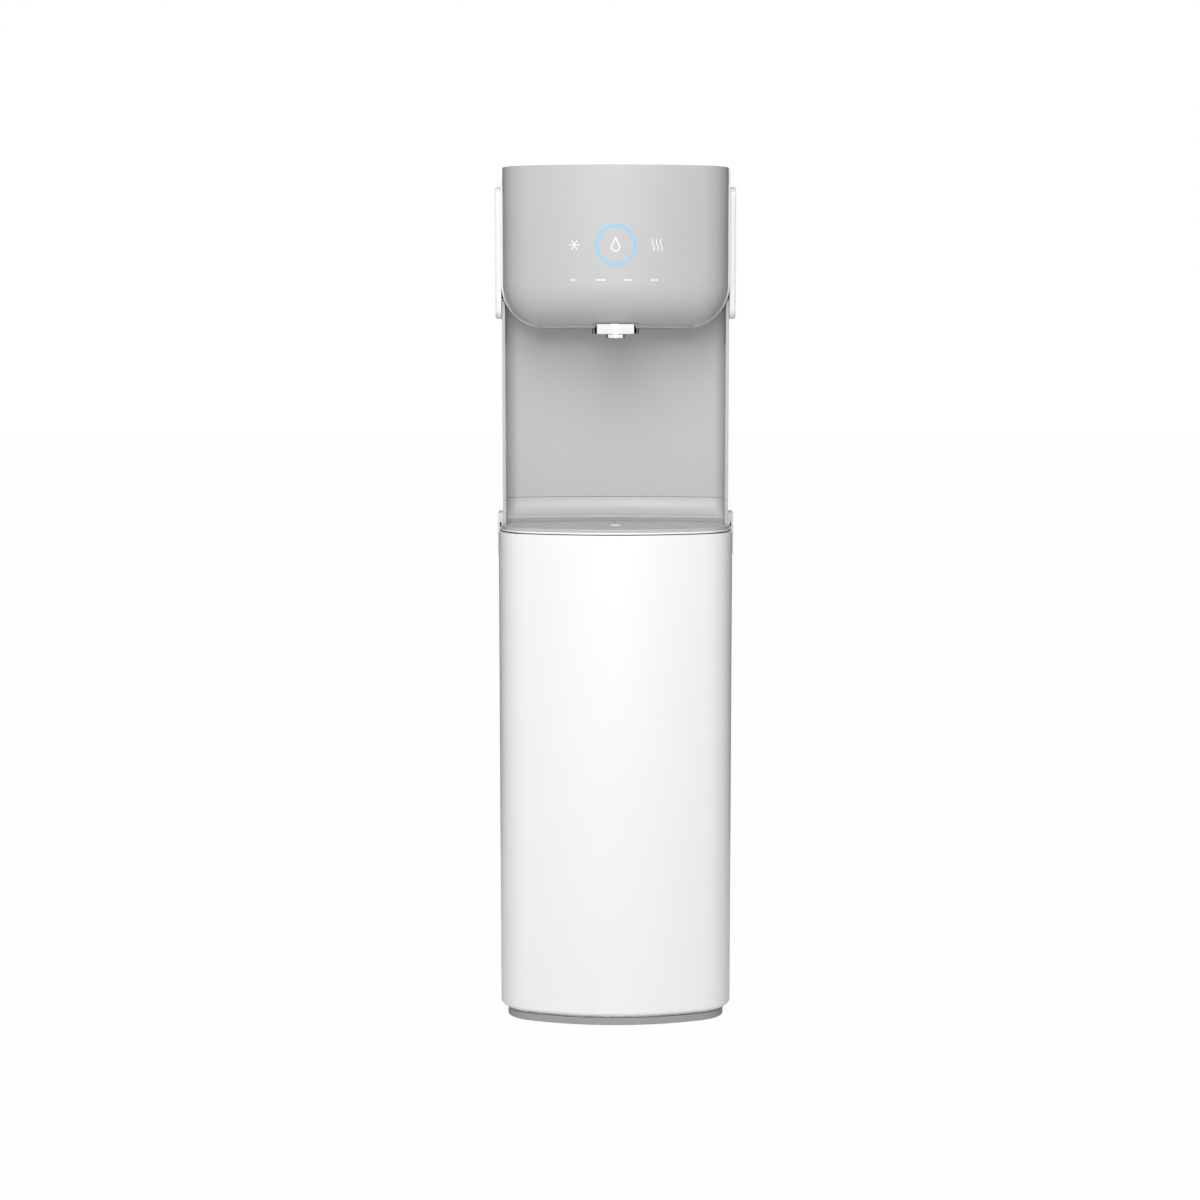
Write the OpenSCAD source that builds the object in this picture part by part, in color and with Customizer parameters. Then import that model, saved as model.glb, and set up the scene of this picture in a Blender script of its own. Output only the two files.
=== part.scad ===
// Floor-standing water dispenser: an upper dispensing unit latched on a tall cabinet.
// Millimetres, +Z up, the front faces -Y, and the origin is at the floor under the centre of the box.

/* [Overall] */
// Height from the floor to the top of the head
total_h = 1065; // [1060:1:1080]
// Depth from the door's front to the condenser's rear spacers
total_d = 380; // [378:1:384]
// Width across the cabinet
cab_w = 292; // [291:1:293]

/* [Cabinet] */
// Height of the door's top edge
door_top_z = 617.9; // [617.5:0.1:618.2]
// Height of the door's bottom edge
door_bottom_z = 12.7; // [12.5:0.1:13.5]
// Radius of the gently curved front
front_r = 300; // [295:1:310]
// Radius of the front vertical corners
corner_r = 50; // [48:1:51]
// Thickness of the door's wall
door_wall = 2.5; // [2:0.1:3]

/* [Upper unit] */
// Width of the grey head cover
head_w = 278; // [277:1:279]
// Height of the head's underside
head_z = 872; // [871:1:873]
// Radius of the roll under the head
roll_r = 50; // [49:1:50]
// Height of the seam between the alcove panel and the cove
seam_z = 655; // [654:1:656]
// Height of the drip grille's top face
grille_z = 625; // [624.9:0.1:625.1]
// Diameter of the light ring
ring_d = 49.3; // [45:0.1:52]

/* [Fits] */
// Radial clearance of a turning fit
run_fit = 0.05; // [0.02:0.01:0.1]

/* [Hidden] */

// Colours
c_white = [0.95, 0.95, 0.95];
c_grey = [0.70, 0.70, 0.71];
c_trim = [0.93, 0.93, 0.93];
c_steel = [0.72, 0.73, 0.75];
c_dark = [0.12, 0.12, 0.13];
c_blue = [0.55, 0.80, 0.95];

// Driving planes and half widths
front_y = -total_d / 2;
rear_y = total_d / 2 - 24;
cab_hw = cab_w / 2;
head_hw = head_w / 2;
head_front_y = front_y + 0.4;
shell_hw = head_hw + 2.3;
deck_z = door_top_z + 1;
deck_t = 2.5;
deck_top = deck_z + deck_t;
pan_z = 10.2;
pan_t = 2;
sheet_t = 1.2;
arc_steps = 22;
corner_steps = 9;

// Plan depth at which the front's corner meets the straight side
function corner_depth(hw, rf, rc) = rf - sqrt((rf - rc) * (rf - rc) - (hw - rc) * (hw - rc));
cab_side_y = front_y + corner_depth(cab_hw, front_r, corner_r);
head_side_y = head_front_y + corner_depth(head_hw, front_r, corner_r);
side_start_y = cab_side_y + 3;
housing_front_y = head_side_y + 1.7;
housing_back_y = head_side_y + 73.2;

// Top face of the frame round the drip tray
base_top = 625.2;

// Concave rear wall of the alcove: an arc about an axis in front of the cabinet
alcove_y = front_y + 142;
alcove_r = 610;
alcove_axis_y = alcove_y - alcove_r;
nose_r = alcove_r - 21.8;
column_front_y = alcove_y - 13.4;

// The alcove's cheeks: inner face, front edge, thickness and the radius into the rear wall
cheek_x = head_hw - 1.8;
cheek_front_y = front_y + 83;
cheek_t = 1.4;
cheek_r = 16;
lip_x = head_hw + 2.2;
lip_t = 2;

// Corner-and-front arc of a plan outline, from the left side round to the right side
function front_arc(hw, y0, rf, rc) =
  let (
    bend = asin((hw - rc) / (rf - rc)),
    yc = y0 + rf,
    cx = hw - rc,
    cy = yc - (rf - rc) * cos(bend)
  )
  concat(
    [for (k = [0:corner_steps - 1])
      let (a = 180 + (90 - bend) * k / corner_steps) [-cx + rc * cos(a), cy + rc * sin(a)]],
    [for (k = [0:arc_steps])
      let (a = 270 - bend + 2 * bend * k / arc_steps) [rf * cos(a), yc + rf * sin(a)]],
    [for (k = [1:corner_steps])
      let (a = 270 + bend + (90 - bend) * k / corner_steps) [cx + rc * cos(a), cy + rc * sin(a)]]
  );
// The cabinet's outline and the head's outline, moved inwards by t
function cab_arc(t) = front_arc(cab_hw - t, front_y + t, front_r - t, corner_r - t);
function plinth_arc(t) = front_arc(cab_hw - 9 - t, front_y + 5 + t, front_r - 5 - t, corner_r - 9 - t);
function head_arc(t) = front_arc(head_hw - t, head_front_y + t, front_r - t, corner_r - t);
// A point of the alcove's arc at radius r
function alcove_pt(r, x) = [x, alcove_axis_y + sqrt(r * r - x * x)];
function alcove_arc(r, hw) = [for (k = [0:16]) alcove_pt(r, hw - 2 * hw * k / 16)];
function rect_pts(w, d) = [[-w / 2, -d / 2], [w / 2, -d / 2], [w / 2, d / 2], [-w / 2, d / 2]];
function round_rect(w, h, r, n = 6) = [
  for (q = [[1, 1, 0], [-1, 1, 90], [-1, -1, 180], [1, -1, 270]])
    for (k = [0:n])
      let (a = q[2] + 90 * k / n) [q[0] * (w / 2 - r) + r * cos(a), q[1] * (h / 2 - r) + r * sin(a)]
];
function lift(pts, z) = [for (p = pts) [p[0], p[1], z]];

// Plate whose outline is a front arc closed by a straight rear edge
module front_plate(arc, y_back, z, t) {
  hw = arc[len(arc) - 1][0];
  translate([0, 0, z]) linear_extrude(t) polygon(concat(arc, [[hw, y_back], [-hw, y_back]]));
}

// Closed skin between two grids of points that run left to right and bottom to top
module skin(outer, inner) {
  m = len(outer);
  n = len(outer[0]);
  function o(j, i) = j * n + i;
  function s(j, i) = m * n + j * n + i;
  quads = concat(
    [for (j = [0:m - 2]) for (i = [0:n - 2]) [o(j, i), o(j + 1, i), o(j + 1, i + 1), o(j, i + 1)]],
    [for (j = [0:m - 2]) for (i = [0:n - 2]) [s(j, i), s(j, i + 1), s(j + 1, i + 1), s(j + 1, i)]],
    [for (i = [0:n - 2]) [o(0, i), o(0, i + 1), s(0, i + 1), s(0, i)]],
    [for (i = [0:n - 2]) [o(m - 1, i), s(m - 1, i), s(m - 1, i + 1), o(m - 1, i + 1)]],
    [for (j = [0:m - 2]) [o(j, 0), s(j, 0), s(j + 1, 0), o(j + 1, 0)]],
    [for (j = [0:m - 2]) [o(j, n - 1), o(j + 1, n - 1), s(j + 1, n - 1), s(j, n - 1)]]
  );
  tris = [for (q = quads) each [[q[0], q[1], q[2]], [q[0], q[2], q[3]]]];
  polyhedron(concat([for (r = outer) each r], [for (r = inner) each r]), tris, convexity = 8);
}

// Round bar swept along a path; ref is a direction that the path never takes
function unit(v) = v / norm(v);
function heading(p, k) = unit((k < len(p) - 1 ? p[k + 1] : p[k]) - (k > 0 ? p[k - 1] : p[k]));
function rounded_path(p, r, n = 4) = [
  for (k = [0:len(p) - 1]) each (
    k == 0 || k == len(p) - 1 ? [p[k]] :
    let (a = p[k] + r * unit(p[k - 1] - p[k]), b = p[k] + r * unit(p[k + 1] - p[k]))
    [for (i = [0:n]) let (t = i / n) (1 - t) * (1 - t) * a + 2 * t * (1 - t) * p[k] + t * t * b]
  )
];
module bar(path, r, ref, sides = 8) {
  m = len(path);
  pts = [
    for (k = [0:m - 1])
      let (t = heading(path, k), u = unit(cross(ref, t)), v = cross(t, u))
      for (i = [0:sides - 1])
        let (a = 360 * i / sides) path[k] + r * (cos(a) * u + sin(a) * v)
  ];
  function id(k, i) = k * sides + i % sides;
  walls = [
    for (k = [0:m - 2]) for (i = [0:sides - 1])
      each [[id(k, i), id(k + 1, i), id(k + 1, i + 1)], [id(k, i), id(k + 1, i + 1), id(k, i + 1)]]
  ];
  start = [[for (i = [0:sides - 1]) i]];
  end = [[for (i = [sides - 1:-1:0]) (m - 1) * sides + i]];
  polyhedron(pts, concat(walls, start, end), convexity = 6);
}

// ---------------------------------------------------------------- base

foot_x = 104;
foot_front_y = front_y + 75;
foot_rear_y = rear_y - 36;
foot_pos = [[-foot_x, foot_front_y], [foot_x, foot_front_y], [-foot_x, foot_rear_y], [foot_x, foot_rear_y]];
foot_stud_r = 4;

// The door's upright hinge axis
hinge_x = -cab_hw + 13;
hinge_y = side_start_y - 12.6;
pin_r = 3;

module base_pan() {
  color(c_steel) difference() {
    union() {
      front_plate(cab_arc(7), rear_y - 3, pan_z, pan_t);
      for (p = foot_pos) translate([p[0], p[1], pan_z + pan_t]) cylinder(h = 10, r = 10, $fn = 48);
    }
    for (p = foot_pos) translate([p[0], p[1], 0]) cylinder(h = 40, r = foot_stud_r + run_fit, $fn = 48);
  }
}

module plinth_skirt() {
  color(c_grey) difference() {
    front_plate(plinth_arc(0), rear_y - 8, 0.8, pan_z - 0.9);
    translate([0, 0, -1]) front_plate(plinth_arc(3), rear_y - 11, 0, pan_z + 5);
  }
}

module foot(k) {
  color(c_dark) translate([foot_pos[k][0], foot_pos[k][1], 0]) rotate_extrude($fn = 64)
    polygon([
      [0, 0], [17, 0], [18, 1], [18, 5], [9, 8],
      [foot_stud_r, 8], [foot_stud_r, 27], [3, 28], [0, 28]
    ]);
}

// ---------------------------------------------------------------- cabinet

module side_panel(side) {
  x_out = cab_hw;
  flange = 12;
  length = rear_y - side_start_y;
  z0 = pan_z + pan_t + 0.2;
  color(c_white) mirror([side < 0 ? 1 : 0, 0, 0]) {
    translate([x_out - sheet_t, side_start_y, z0]) cube([sheet_t, length, deck_z - z0]);
    translate([x_out - flange, side_start_y + 16, z0]) cube([flange, length - 16, sheet_t]);
    translate([x_out - flange, side_start_y + 16, deck_z - sheet_t]) cube([flange, length - 16, sheet_t]);
    translate([x_out - flange, rear_y - sheet_t, z0]) cube([flange, sheet_t, deck_z - z0]);
  }
}

inlet_pos = [96, 78];
drain_pos = [60, 78];
power_pos = [-90, 84];

module rear_panel() {
  y = rear_y - 2 * sheet_t;
  w = 2 * (cab_hw - sheet_t - 0.3);
  z0 = pan_z + pan_t + 1.8;
  h = deck_z - sheet_t - 0.4 - z0;
  color(c_white) translate([0, y + sheet_t, 0]) rotate([90, 0, 0]) linear_extrude(sheet_t) difference() {
    translate([-w / 2, z0]) square([w, h]);
    for (row = [0:9]) for (col = [-1, 1])
      translate([col * 48 - 34, 588 - row * 9]) square([68, 3.4]);
    for (row = [0:5]) translate([-50, 28 + row * 8]) square([100, 3.4]);
    translate(inlet_pos) circle(r = 9.2, $fn = 48);
    translate(drain_pos) circle(r = 9.2, $fn = 48);
    translate([power_pos[0] - 15, power_pos[1] - 11]) square([30, 22]);
  }
}

module front_posts() {
  z0 = pan_z + pan_t + 1.6;
  color(c_steel) for (s = [-1, 1])
    translate([s * (cab_hw - sheet_t - 6.5), side_start_y + 11, z0]) linear_extrude(deck_z - 1.6 - z0)
      difference() {
        square([12, 12], center = true);
        square([9.6, 9.6], center = true);
      }
}

deck_hole_t = 14.6;
deck_hw = cab_hw - 1.6;
deck_corner_r = 60;

module top_deck() {
  color(c_white) difference() {
    front_plate(front_arc(deck_hw, front_y + 1.4, front_r, deck_corner_r), rear_y, deck_z, deck_t);
    translate([0, 0, deck_z - 1]) linear_extrude(deck_t + 2)
      polygon(concat(cab_arc(deck_hole_t), alcove_arc(nose_r + 4, cab_hw - deck_hole_t)));
    translate([-50, rear_y - 90, deck_z - 1]) cube([100, 50, deck_t + 2]);
  }
}

// ---------------------------------------------------------------- door

door_foot_r = 6;

module door_shell() {
  angles = [75, 60, 45, 30, 15, 0];
  z_roll = door_bottom_z + door_foot_r;
  function out_t(a) = door_foot_r * (1 - cos(a));
  function in_t(a) = door_foot_r - (door_foot_r - door_wall) * cos(a);
  top_round = [[0, 1.2], [0.35, 0.35], [1.2, 0]];
  outer = concat(
    [for (a = angles) lift(cab_arc(out_t(a)), z_roll - door_foot_r * sin(a))],
    [for (k = [0:2]) lift(cab_arc(top_round[k][0]), door_top_z - top_round[k][1])]
  );
  inner = concat(
    [for (a = angles) lift(cab_arc(in_t(a)), z_roll - (door_foot_r - door_wall) * sin(a))],
    [for (k = [0:2]) lift(cab_arc(door_wall), door_top_z - top_round[k][1])]
  );
  color(c_white) skin(outer, inner);
}

knuckle_z = [20, deck_z - 22];
knuckle_h = 14;
knuckle_r = 6;

// Hinge knuckles, and the steel keeper that the catch's magnet holds
module door_fittings() {
  color(c_steel) translate([cab_hw - door_wall - 12.8, cab_side_y - 8, 310]) cube([12, 1.5, 30]);
  color(c_white) for (z = knuckle_z) translate([hinge_x, hinge_y, z]) difference() {
    union() {
      cylinder(h = knuckle_h, r = knuckle_r, $fn = 48);
      translate([-8.3, -4, 0]) cube([7, 8, knuckle_h]);
    }
    translate([0, 0, -1]) cylinder(h = knuckle_h + 2, r = pin_r + run_fit, $fn = 48);
  }
}

module hinge_pins() {
  z_low = pan_z + pan_t + 0.1;
  washer_t = 0.5;
  color(c_steel) translate([hinge_x, hinge_y, 0]) {
    translate([0, 0, z_low]) cylinder(h = washer_t, r = knuckle_r, $fn = 48);
    translate([0, 0, z_low]) cylinder(h = 22, r = pin_r, $fn = 48);
    translate([0, 0, deck_z - washer_t - 0.1]) cylinder(h = washer_t, r = knuckle_r, $fn = 48);
    translate([0, 0, deck_z - 22]) cylinder(h = 21.9, r = pin_r, $fn = 48);
  }
}

module door_catch() {
  color(c_dark) translate([cab_hw - 15, cab_side_y - 6, 312]) cube([11, 13.6, 26]);
}

// ---------------------------------------------------------------- filters and water parts

filter_x = [-78, 0, 78];
filter_y = front_y + 74;
neck_r = 14;
manifold_z = 540;

module filter_manifold() {
  color(c_grey) difference() {
    union() {
      translate([-112, filter_y - 24, manifold_z]) cube([224, 48, 24]);
      translate([-cab_hw + 3, side_start_y + 17.2, manifold_z + 4]) cube([cab_w - 6, 3, 30]);
      translate([-108, filter_y + 20, manifold_z + 6]) cube([216, side_start_y + 18 - filter_y - 20, 16]);
    }
    for (x = filter_x) translate([x, filter_y, manifold_z - 1])
      cylinder(h = 17, r = neck_r + run_fit, $fn = 64);
  }
}

module filter_cartridge(k) {
  z0 = 205;
  h = manifold_z - 1 - z0;
  r = 30;
  color(c_white) translate([filter_x[k], filter_y, z0]) rotate_extrude($fn = 72) polygon(concat(
    [[0, 0]],
    [for (i = [0:6]) [r - 8 + 8 * sin(15 * i), 8 - 8 * cos(15 * i)]],
    [[r, h - 34], [r - 1.5, h - 32], [r - 1.5, h - 26], [r, h - 24], [r, h - 8], [r - 6, h - 1]],
    [[neck_r, h - 1], [neck_r, h + 15], [0, h + 15]]
  ));
}

module booster_pump() {
  color(c_dark) translate([-78, 24, 62]) rotate([0, 90, 90]) {
    cylinder(h = 62, r = 24, $fn = 48);
    translate([0, 0, 62]) cylinder(h = 30, r = 30, $fn = 48);
    translate([16, -30, 4]) cube([33.6, 60, 84]);
  }
}

module inlet_valve() {
  color(c_blue) translate([inlet_pos[0], rear_y - 58, inlet_pos[1]]) {
    rotate([-90, 0, 0]) cylinder(h = 32, r = 8, $fn = 40);
    translate([-11, 4, 7]) cube([22, 24, 27]);
  }
}

comp_pos = [30, 58];

module compressor() {
  color(c_dark) translate([comp_pos[0], comp_pos[1], 30]) {
    rotate_extrude($fn = 72) polygon(concat(
      [[0, 3], [58, 3], [62, 10]],
      [for (i = [0:9]) [62 * cos(10 * i), 95 + 38 * sin(10 * i)]],
      [[0, 133]]
    ));
    translate([0, 0, 1.5]) linear_extrude(3) polygon(round_rect(150, 90, 10));
  }
}

module compressor_mounts() {
  color(c_dark) for (sx = [-1, 1]) for (sy = [-1, 1])
    translate([comp_pos[0] + sx * 62, comp_pos[1] + sy * 32, pan_z + pan_t + 0.1]) rotate_extrude($fn = 40)
      polygon([[0, 0], [11, 0], [11, 6], [8, 9], [11, 12], [11, 19], [0, 19]]);
}

coil_hw = 112;
coil_rows = 16;
coil_pitch = 28;
coil_z = 128;
coil_y = rear_y + 13;

module condenser_tube() {
  corners = [
    for (k = [0:coil_rows - 1]) each (
      k % 2 == 0
        ? [[-coil_hw, coil_y, coil_z + k * coil_pitch], [coil_hw, coil_y, coil_z + k * coil_pitch]]
        : [[coil_hw, coil_y, coil_z + k * coil_pitch], [-coil_hw, coil_y, coil_z + k * coil_pitch]]
    )
  ];
  color(c_dark) bar(rounded_path(corners, coil_pitch / 2 - 0.5, 3), 2.5, [0, 1, 0]);
}

module condenser_wires() {
  z0 = coil_z - 10;
  h = (coil_rows - 1) * coil_pitch + 20;
  color(c_dark) {
    for (k = [0:23]) for (s = [-1, 1])
      translate([-98 + k * 196 / 23, coil_y + s * 3.4, z0]) cylinder(h = h, r = 0.8, $fn = 16);
    for (sx = [-1, 1]) for (z = [z0 + 40, z0 + h - 60])
      translate([sx * (coil_hw + 15) - 5, rear_y + 0.1, z]) cube([10, total_d / 2 - rear_y - 0.1, 24]);
  }
}

module filter_drier() {
  color([0.72, 0.45, 0.3]) translate([-118, 88, 150]) rotate_extrude($fn = 40)
    polygon([[0, 0], [3, 0], [3, 14], [10, 26], [10, 96], [3, 108], [3, 122], [0, 122]]);
}

module bulkhead(r_bore, depth) {
  difference() {
    union() {
      translate([0, 0, -24]) cylinder(h = 40, r = 9, $fn = 48);
      cylinder(h = 4, r = 12.5, $fn = 48);
    }
    translate([0, 0, 16 - depth]) cylinder(h = depth + 1, r = r_bore, $fn = 48);
  }
}

module inlet_fitting() {
  color(c_white) translate([inlet_pos[0], rear_y - sheet_t + 0.1, inlet_pos[1]]) rotate([-90, 0, 0])
    bulkhead(3.25, 16);
}

drain_face_y = rear_y - sheet_t + 0.1;

module drain_stub() {
  color(c_white) translate([drain_pos[0], drain_face_y, drain_pos[1]]) rotate([-90, 0, 0]) {
    translate([0, 0, -24]) cylinder(h = 24, r = 9, $fn = 48);
    cylinder(h = 4, r = 12.5, $fn = 48);
    translate([0, 0, 4]) cylinder(h = 11, r = 7, $fn = 48);
  }
}

module drain_cap() {
  color(c_dark) translate([drain_pos[0], drain_face_y, drain_pos[1]]) rotate([-90, 0, 0]) difference() {
    translate([0, 0, 4.3]) linear_extrude(14)
      polygon([for (k = [0:47]) let (r = k % 4 < 2 ? 10.6 : 9.8) [r * cos(7.5 * k), r * sin(7.5 * k)]]);
    translate([0, 0, 4]) cylinder(h = 11.6, r = 7 + run_fit, $fn = 64);
  }
}

module power_inlet() {
  translate([power_pos[0], rear_y - sheet_t + 0.1, power_pos[1]]) {
    color(c_dark) rotate([90, 0, 0]) difference() {
      union() {
        translate([0, 0, -3]) linear_extrude(3) polygon(round_rect(48, 30, 3));
        linear_extrude(20) polygon(rect_pts(28.4, 20.6));
      }
      translate([0, 0, -4]) linear_extrude(18)
        polygon([[-12, -8], [12, -8], [12, 4], [8.5, 8], [-8.5, 8], [-12, 4]]);
    }
    color(c_steel) for (x = [-7, 0, 7]) translate([x - 1, -14.1, x == 0 ? 1.5 : -2.5]) cube([2, 12, 4]);
  }
}

// ---------------------------------------------------------------- upper unit's shell

notch_z = head_z + 33.5;

module upper_side(side) {
  y0 = cheek_front_y + lip_t + 0.2;
  color(c_trim) mirror([side < 0 ? 1 : 0, 0, 0]) translate([shell_hw - 2.5, 0, 0]) rotate([90, 0, 90])
    linear_extrude(2.5) polygon([
      [y0, base_top + 0.2], [column_front_y, base_top + 0.2], [column_front_y, deck_top + 0.2],
      [rear_y, deck_top + 0.2], [rear_y, total_h],
      [housing_back_y + 0.3, total_h], [housing_back_y + 0.3, notch_z], [y0, notch_z]
    ]);
}

switch_x = 34;
switch_z = 712;

module upper_rear() {
  w = 2 * (shell_hw - 2.8);
  z0 = deck_top + 0.3;
  color(c_trim) translate([0, rear_y, 0]) rotate([90, 0, 0]) linear_extrude(2.5) difference() {
    translate([-w / 2, z0]) square([w, total_h - z0]);
    for (row = [0:8]) for (col = [-1, 1])
      translate([col * 58 - 40, 952 + row * 9]) square([80, 3.2]);
    for (s = [-1, 1]) translate([s * switch_x - 7, switch_z - 11]) square([14, 22]);
  }
}

module top_lid() {
  arc = head_arc(2.9);
  w = shell_hw - 2.8;
  color(c_grey) translate([0, 0, total_h - 2.6]) linear_extrude(2.5)
    polygon(concat(
      arc,
      [[w, housing_front_y + 0.3], [w, rear_y - 2.8], [-w, rear_y - 2.8], [-w, housing_front_y + 0.3]]
    ));
}

// Upright U with round lower corners, open at the top
function u_shape(hw, z0, r, z1, n = 12) = concat(
  [[-hw, z1]],
  [for (k = [0:n]) let (a = 180 + 90 * k / n) [-(hw - r) + r * cos(a), z0 + r + r * sin(a)]],
  [for (k = [0:n]) let (a = 270 + 90 * k / n) [hw - r + r * cos(a), z0 + r + r * sin(a)]],
  [[hw, z1]]
);
function backwards(p) = [for (k = [len(p) - 1:-1:0]) p[k]];
housing_r = roll_r + 2.3;
window_hw = 84;

module head_housing() {
  z0 = head_z - 2.3;
  wall = 2.5;
  color(c_trim) difference() {
    translate([0, housing_back_y, 0]) rotate([90, 0, 0]) linear_extrude(housing_back_y - housing_front_y)
      polygon(concat(
        u_shape(shell_hw, z0, housing_r, total_h),
        backwards(u_shape(shell_hw - wall, z0 + wall, housing_r - wall, total_h))
      ));
    translate([-window_hw, housing_front_y - 1, z0 - 1]) cube([2 * window_hw, 67, wall + 2]);
  }
}

module head_cover() {
  wall = 2.5;
  angles = [80, 72, 64, 56, 48, 40, 32, 24, 16, 8, 0];
  zc = head_z + roll_r;
  end_y = housing_front_y - 0.3;
  function ends(arc) = concat([[arc[0][0], end_y]], arc, [[-arc[0][0], end_y]]);
  outer = concat(
    [for (a = angles) lift(ends(head_arc(roll_r * (1 - cos(a)))), zc - roll_r * sin(a))],
    [lift(ends(head_arc(0)), total_h)]
  );
  inner = concat(
    [for (a = angles) lift(ends(head_arc(roll_r - (roll_r - wall) * cos(a))), zc - (roll_r - wall) * sin(a))],
    [lift(ends(head_arc(wall)), total_h)]
  );
  color(c_grey) skin(outer, inner);
}

nozzle_y = front_y + 40;
neck_y = front_y + 62;
nozzle_neck_r = 17;
channel_z = 3.4;
channel_r = 2.5;
flange_z = head_z - 9.4;

module underside_plate() {
  arc = head_arc(42.2);
  w = window_hw - 0.3;
  y0 = housing_front_y - 0.3;
  color(c_grey) difference() {
    translate([0, 0, head_z - 0.8]) linear_extrude(2.2)
      polygon(concat(arc, [[w, y0], [w, y0 + 65.9], [-w, y0 + 65.9], [-w, y0]]));
    translate([0, neck_y, head_z - 2]) cylinder(h = 5, r = nozzle_neck_r, $fn = 64);
  }
}

// Height up to which the alcove panel rises at x, just under the housing's round corner
function panel_top(x) =
  let (c = shell_hw - housing_r, g = housing_r + 0.5, dx = max(0, abs(x) - c))
  head_z - 2.3 + housing_r - sqrt(g * g - dx * dx);

// Plan curve of the alcove, moved outwards by t: lip, cheek, round corner, rear arc, and the same again
function alcove_plan(t, y0) =
  let (
    cx = cheek_x - cheek_r,
    cy = alcove_axis_y + sqrt((alcove_r - cheek_r) * (alcove_r - cheek_r) - cx * cx),
    turn = asin(cx / (alcove_r - cheek_r)),
    n = 6,
    m = 24,
    corner = cheek_r + t,
    rear = alcove_r + t,
    right = [for (k = [0:n]) let (a = (90 - turn) * (1 - k / n)) [cx + corner * cos(a), cy + corner * sin(a)]]
  )
  concat(
    [[-lip_x, y0], [-cheek_x - t, y0]],
    [for (k = [n:-1:1]) [-right[k][0], right[k][1]]],
    [for (k = [0:m]) let (a = 90 + turn - 2 * turn * k / m) [rear * cos(a), alcove_axis_y + rear * sin(a)]],
    [for (k = [1:n]) right[k]],
    [[cheek_x + t, y0], [lip_x, y0]]
  );

module alcove_panel() {
  z0 = seam_z + 0.5;
  rise = [for (j = [0:3]) j / 3];
  function row(plan, f) =
    [for (p = plan) [p[0], p[1], z0 + (min(panel_top(p[0]), notch_z - 0.5) - z0) * f]];
  front = alcove_plan(0, cheek_front_y);
  back = alcove_plan(cheek_t, cheek_front_y + lip_t);
  color(c_grey) skin([for (f = rise) row(front, f)], [for (f = rise) row(back, f)]);
}

// Lower end of the alcove's wall: it sweeps forward in a cove, and its nose is undercut above the tray
module cove() {
  nose_z = 633;
  rise = seam_z - nose_z;
  run = 20;
  z0 = base_top + 0.1;
  profile = concat(
    [[nose_r + 3, z0], [nose_r, nose_z - 2], [nose_r + 0.6, nose_z - 0.5], [nose_r + 1.8, nose_z]],
    [for (k = [1:10]) [alcove_r - run + run * sin(9 * k), seam_z - rise * cos(9 * k)]],
    [[alcove_r + 2.5, seam_z], [alcove_r + 2.5, z0]]
  );
  half = 16;
  cut = cheek_x + cheek_t;
  color(c_grey) {
    intersection() {
      translate([0, alcove_axis_y, 0]) rotate([0, 0, 90 - half]) rotate_extrude(angle = 2 * half, $fn = 720)
        polygon(profile);
      translate([-cut, front_y, z0 - 10]) cube([2 * cut, 300, 80]);
    }
    for (s = [0, 1]) mirror([s, 0, 0]) translate([0, 0, z0]) linear_extrude(seam_z - z0)
      polygon([
        [cheek_x, cheek_front_y], [lip_x, cheek_front_y], [lip_x, cheek_front_y + lip_t],
        [cut, cheek_front_y + lip_t], [cut, column_front_y - 3], [cheek_x, column_front_y - 3]
      ]);
  }
}

// Outline with the cabinet's front, moved in by t, and a rear edge on the alcove's arc of radius r
function tray_outline(t, r) = concat(cab_arc(t), alcove_arc(r, cab_hw - t));
module tray_ring(t_out, r_out, t_in, r_in, z, h) {
  translate([0, 0, z]) linear_extrude(h) difference() {
    polygon(tray_outline(t_out, r_out));
    polygon(tray_outline(t_in, r_in));
  }
}
bowl_z = 601;

// How far the tray's rim, the bowl below it and the tray's inside lie behind the cabinet's front
tray_rim_t = 10;
bowl_t = 24;
tray_in_t = bowl_t + 4.6;
tray_rim_z = deck_top + 1.35;

// Frame round the drip tray, and the bowl that hangs from it behind the door
module tray_base() {
  z0 = deck_top + 0.1;
  rim_t = tray_rim_t - 0.4;
  color(c_grey) {
    tray_ring(4, alcove_r + 2.5, rim_t, nose_r - 0.2, z0, base_top - z0);
    tray_ring(rim_t - 0.1, nose_r, bowl_t + 2, nose_r - 9, z0, 1);
    tray_ring(bowl_t, nose_r - 7, bowl_t + 2, nose_r - 9, bowl_z, z0 + 0.1 - bowl_z);
    translate([0, 0, bowl_z]) linear_extrude(2) polygon(tray_outline(bowl_t + 0.1, nose_r - 7.1));
  }
}

module drip_tray() {
  color(c_grey) difference() {
    union() {
      translate([0, 0, tray_rim_z]) linear_extrude(0.9) polygon(tray_outline(tray_rim_t, nose_r - 0.6));
      translate([0, 0, bowl_z + 2.4]) linear_extrude(tray_rim_z + 0.1 - bowl_z - 2.4)
        polygon(tray_outline(bowl_t + 2.6, nose_r - 9.6));
    }
    translate([0, 0, bowl_z + 4.2]) linear_extrude(40) polygon(tray_outline(tray_in_t, nose_r - 11.6));
  }
}

grille_t = 1.2;
hole_pitch_x = 12;
hole_pitch_y = 10.5;
float_y = front_y + 66;
float_hole_r = 8.2;

grille_hole_r = 3.2;
hole_margin = 18;
hole_side_margin = 31;

// True where a grille hole stays well inside the grille's outline and clear of the float's hole
function hole_fits(x, y) =
  let (
    reach = front_r - hole_margin,
    corner = [max(0, abs(x) - cab_hw + corner_r), min(0, y - cab_side_y)],
    beside_corner = y > cab_side_y || norm(corner) < corner_r - hole_margin
  )
  norm([x, y - front_y - front_r]) < reach && abs(x) < cab_hw - hole_side_margin
  && y < alcove_pt(nose_r - 9, x)[1] && norm([x, y - float_y]) > float_hole_r + 5 && beside_corner;

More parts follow.
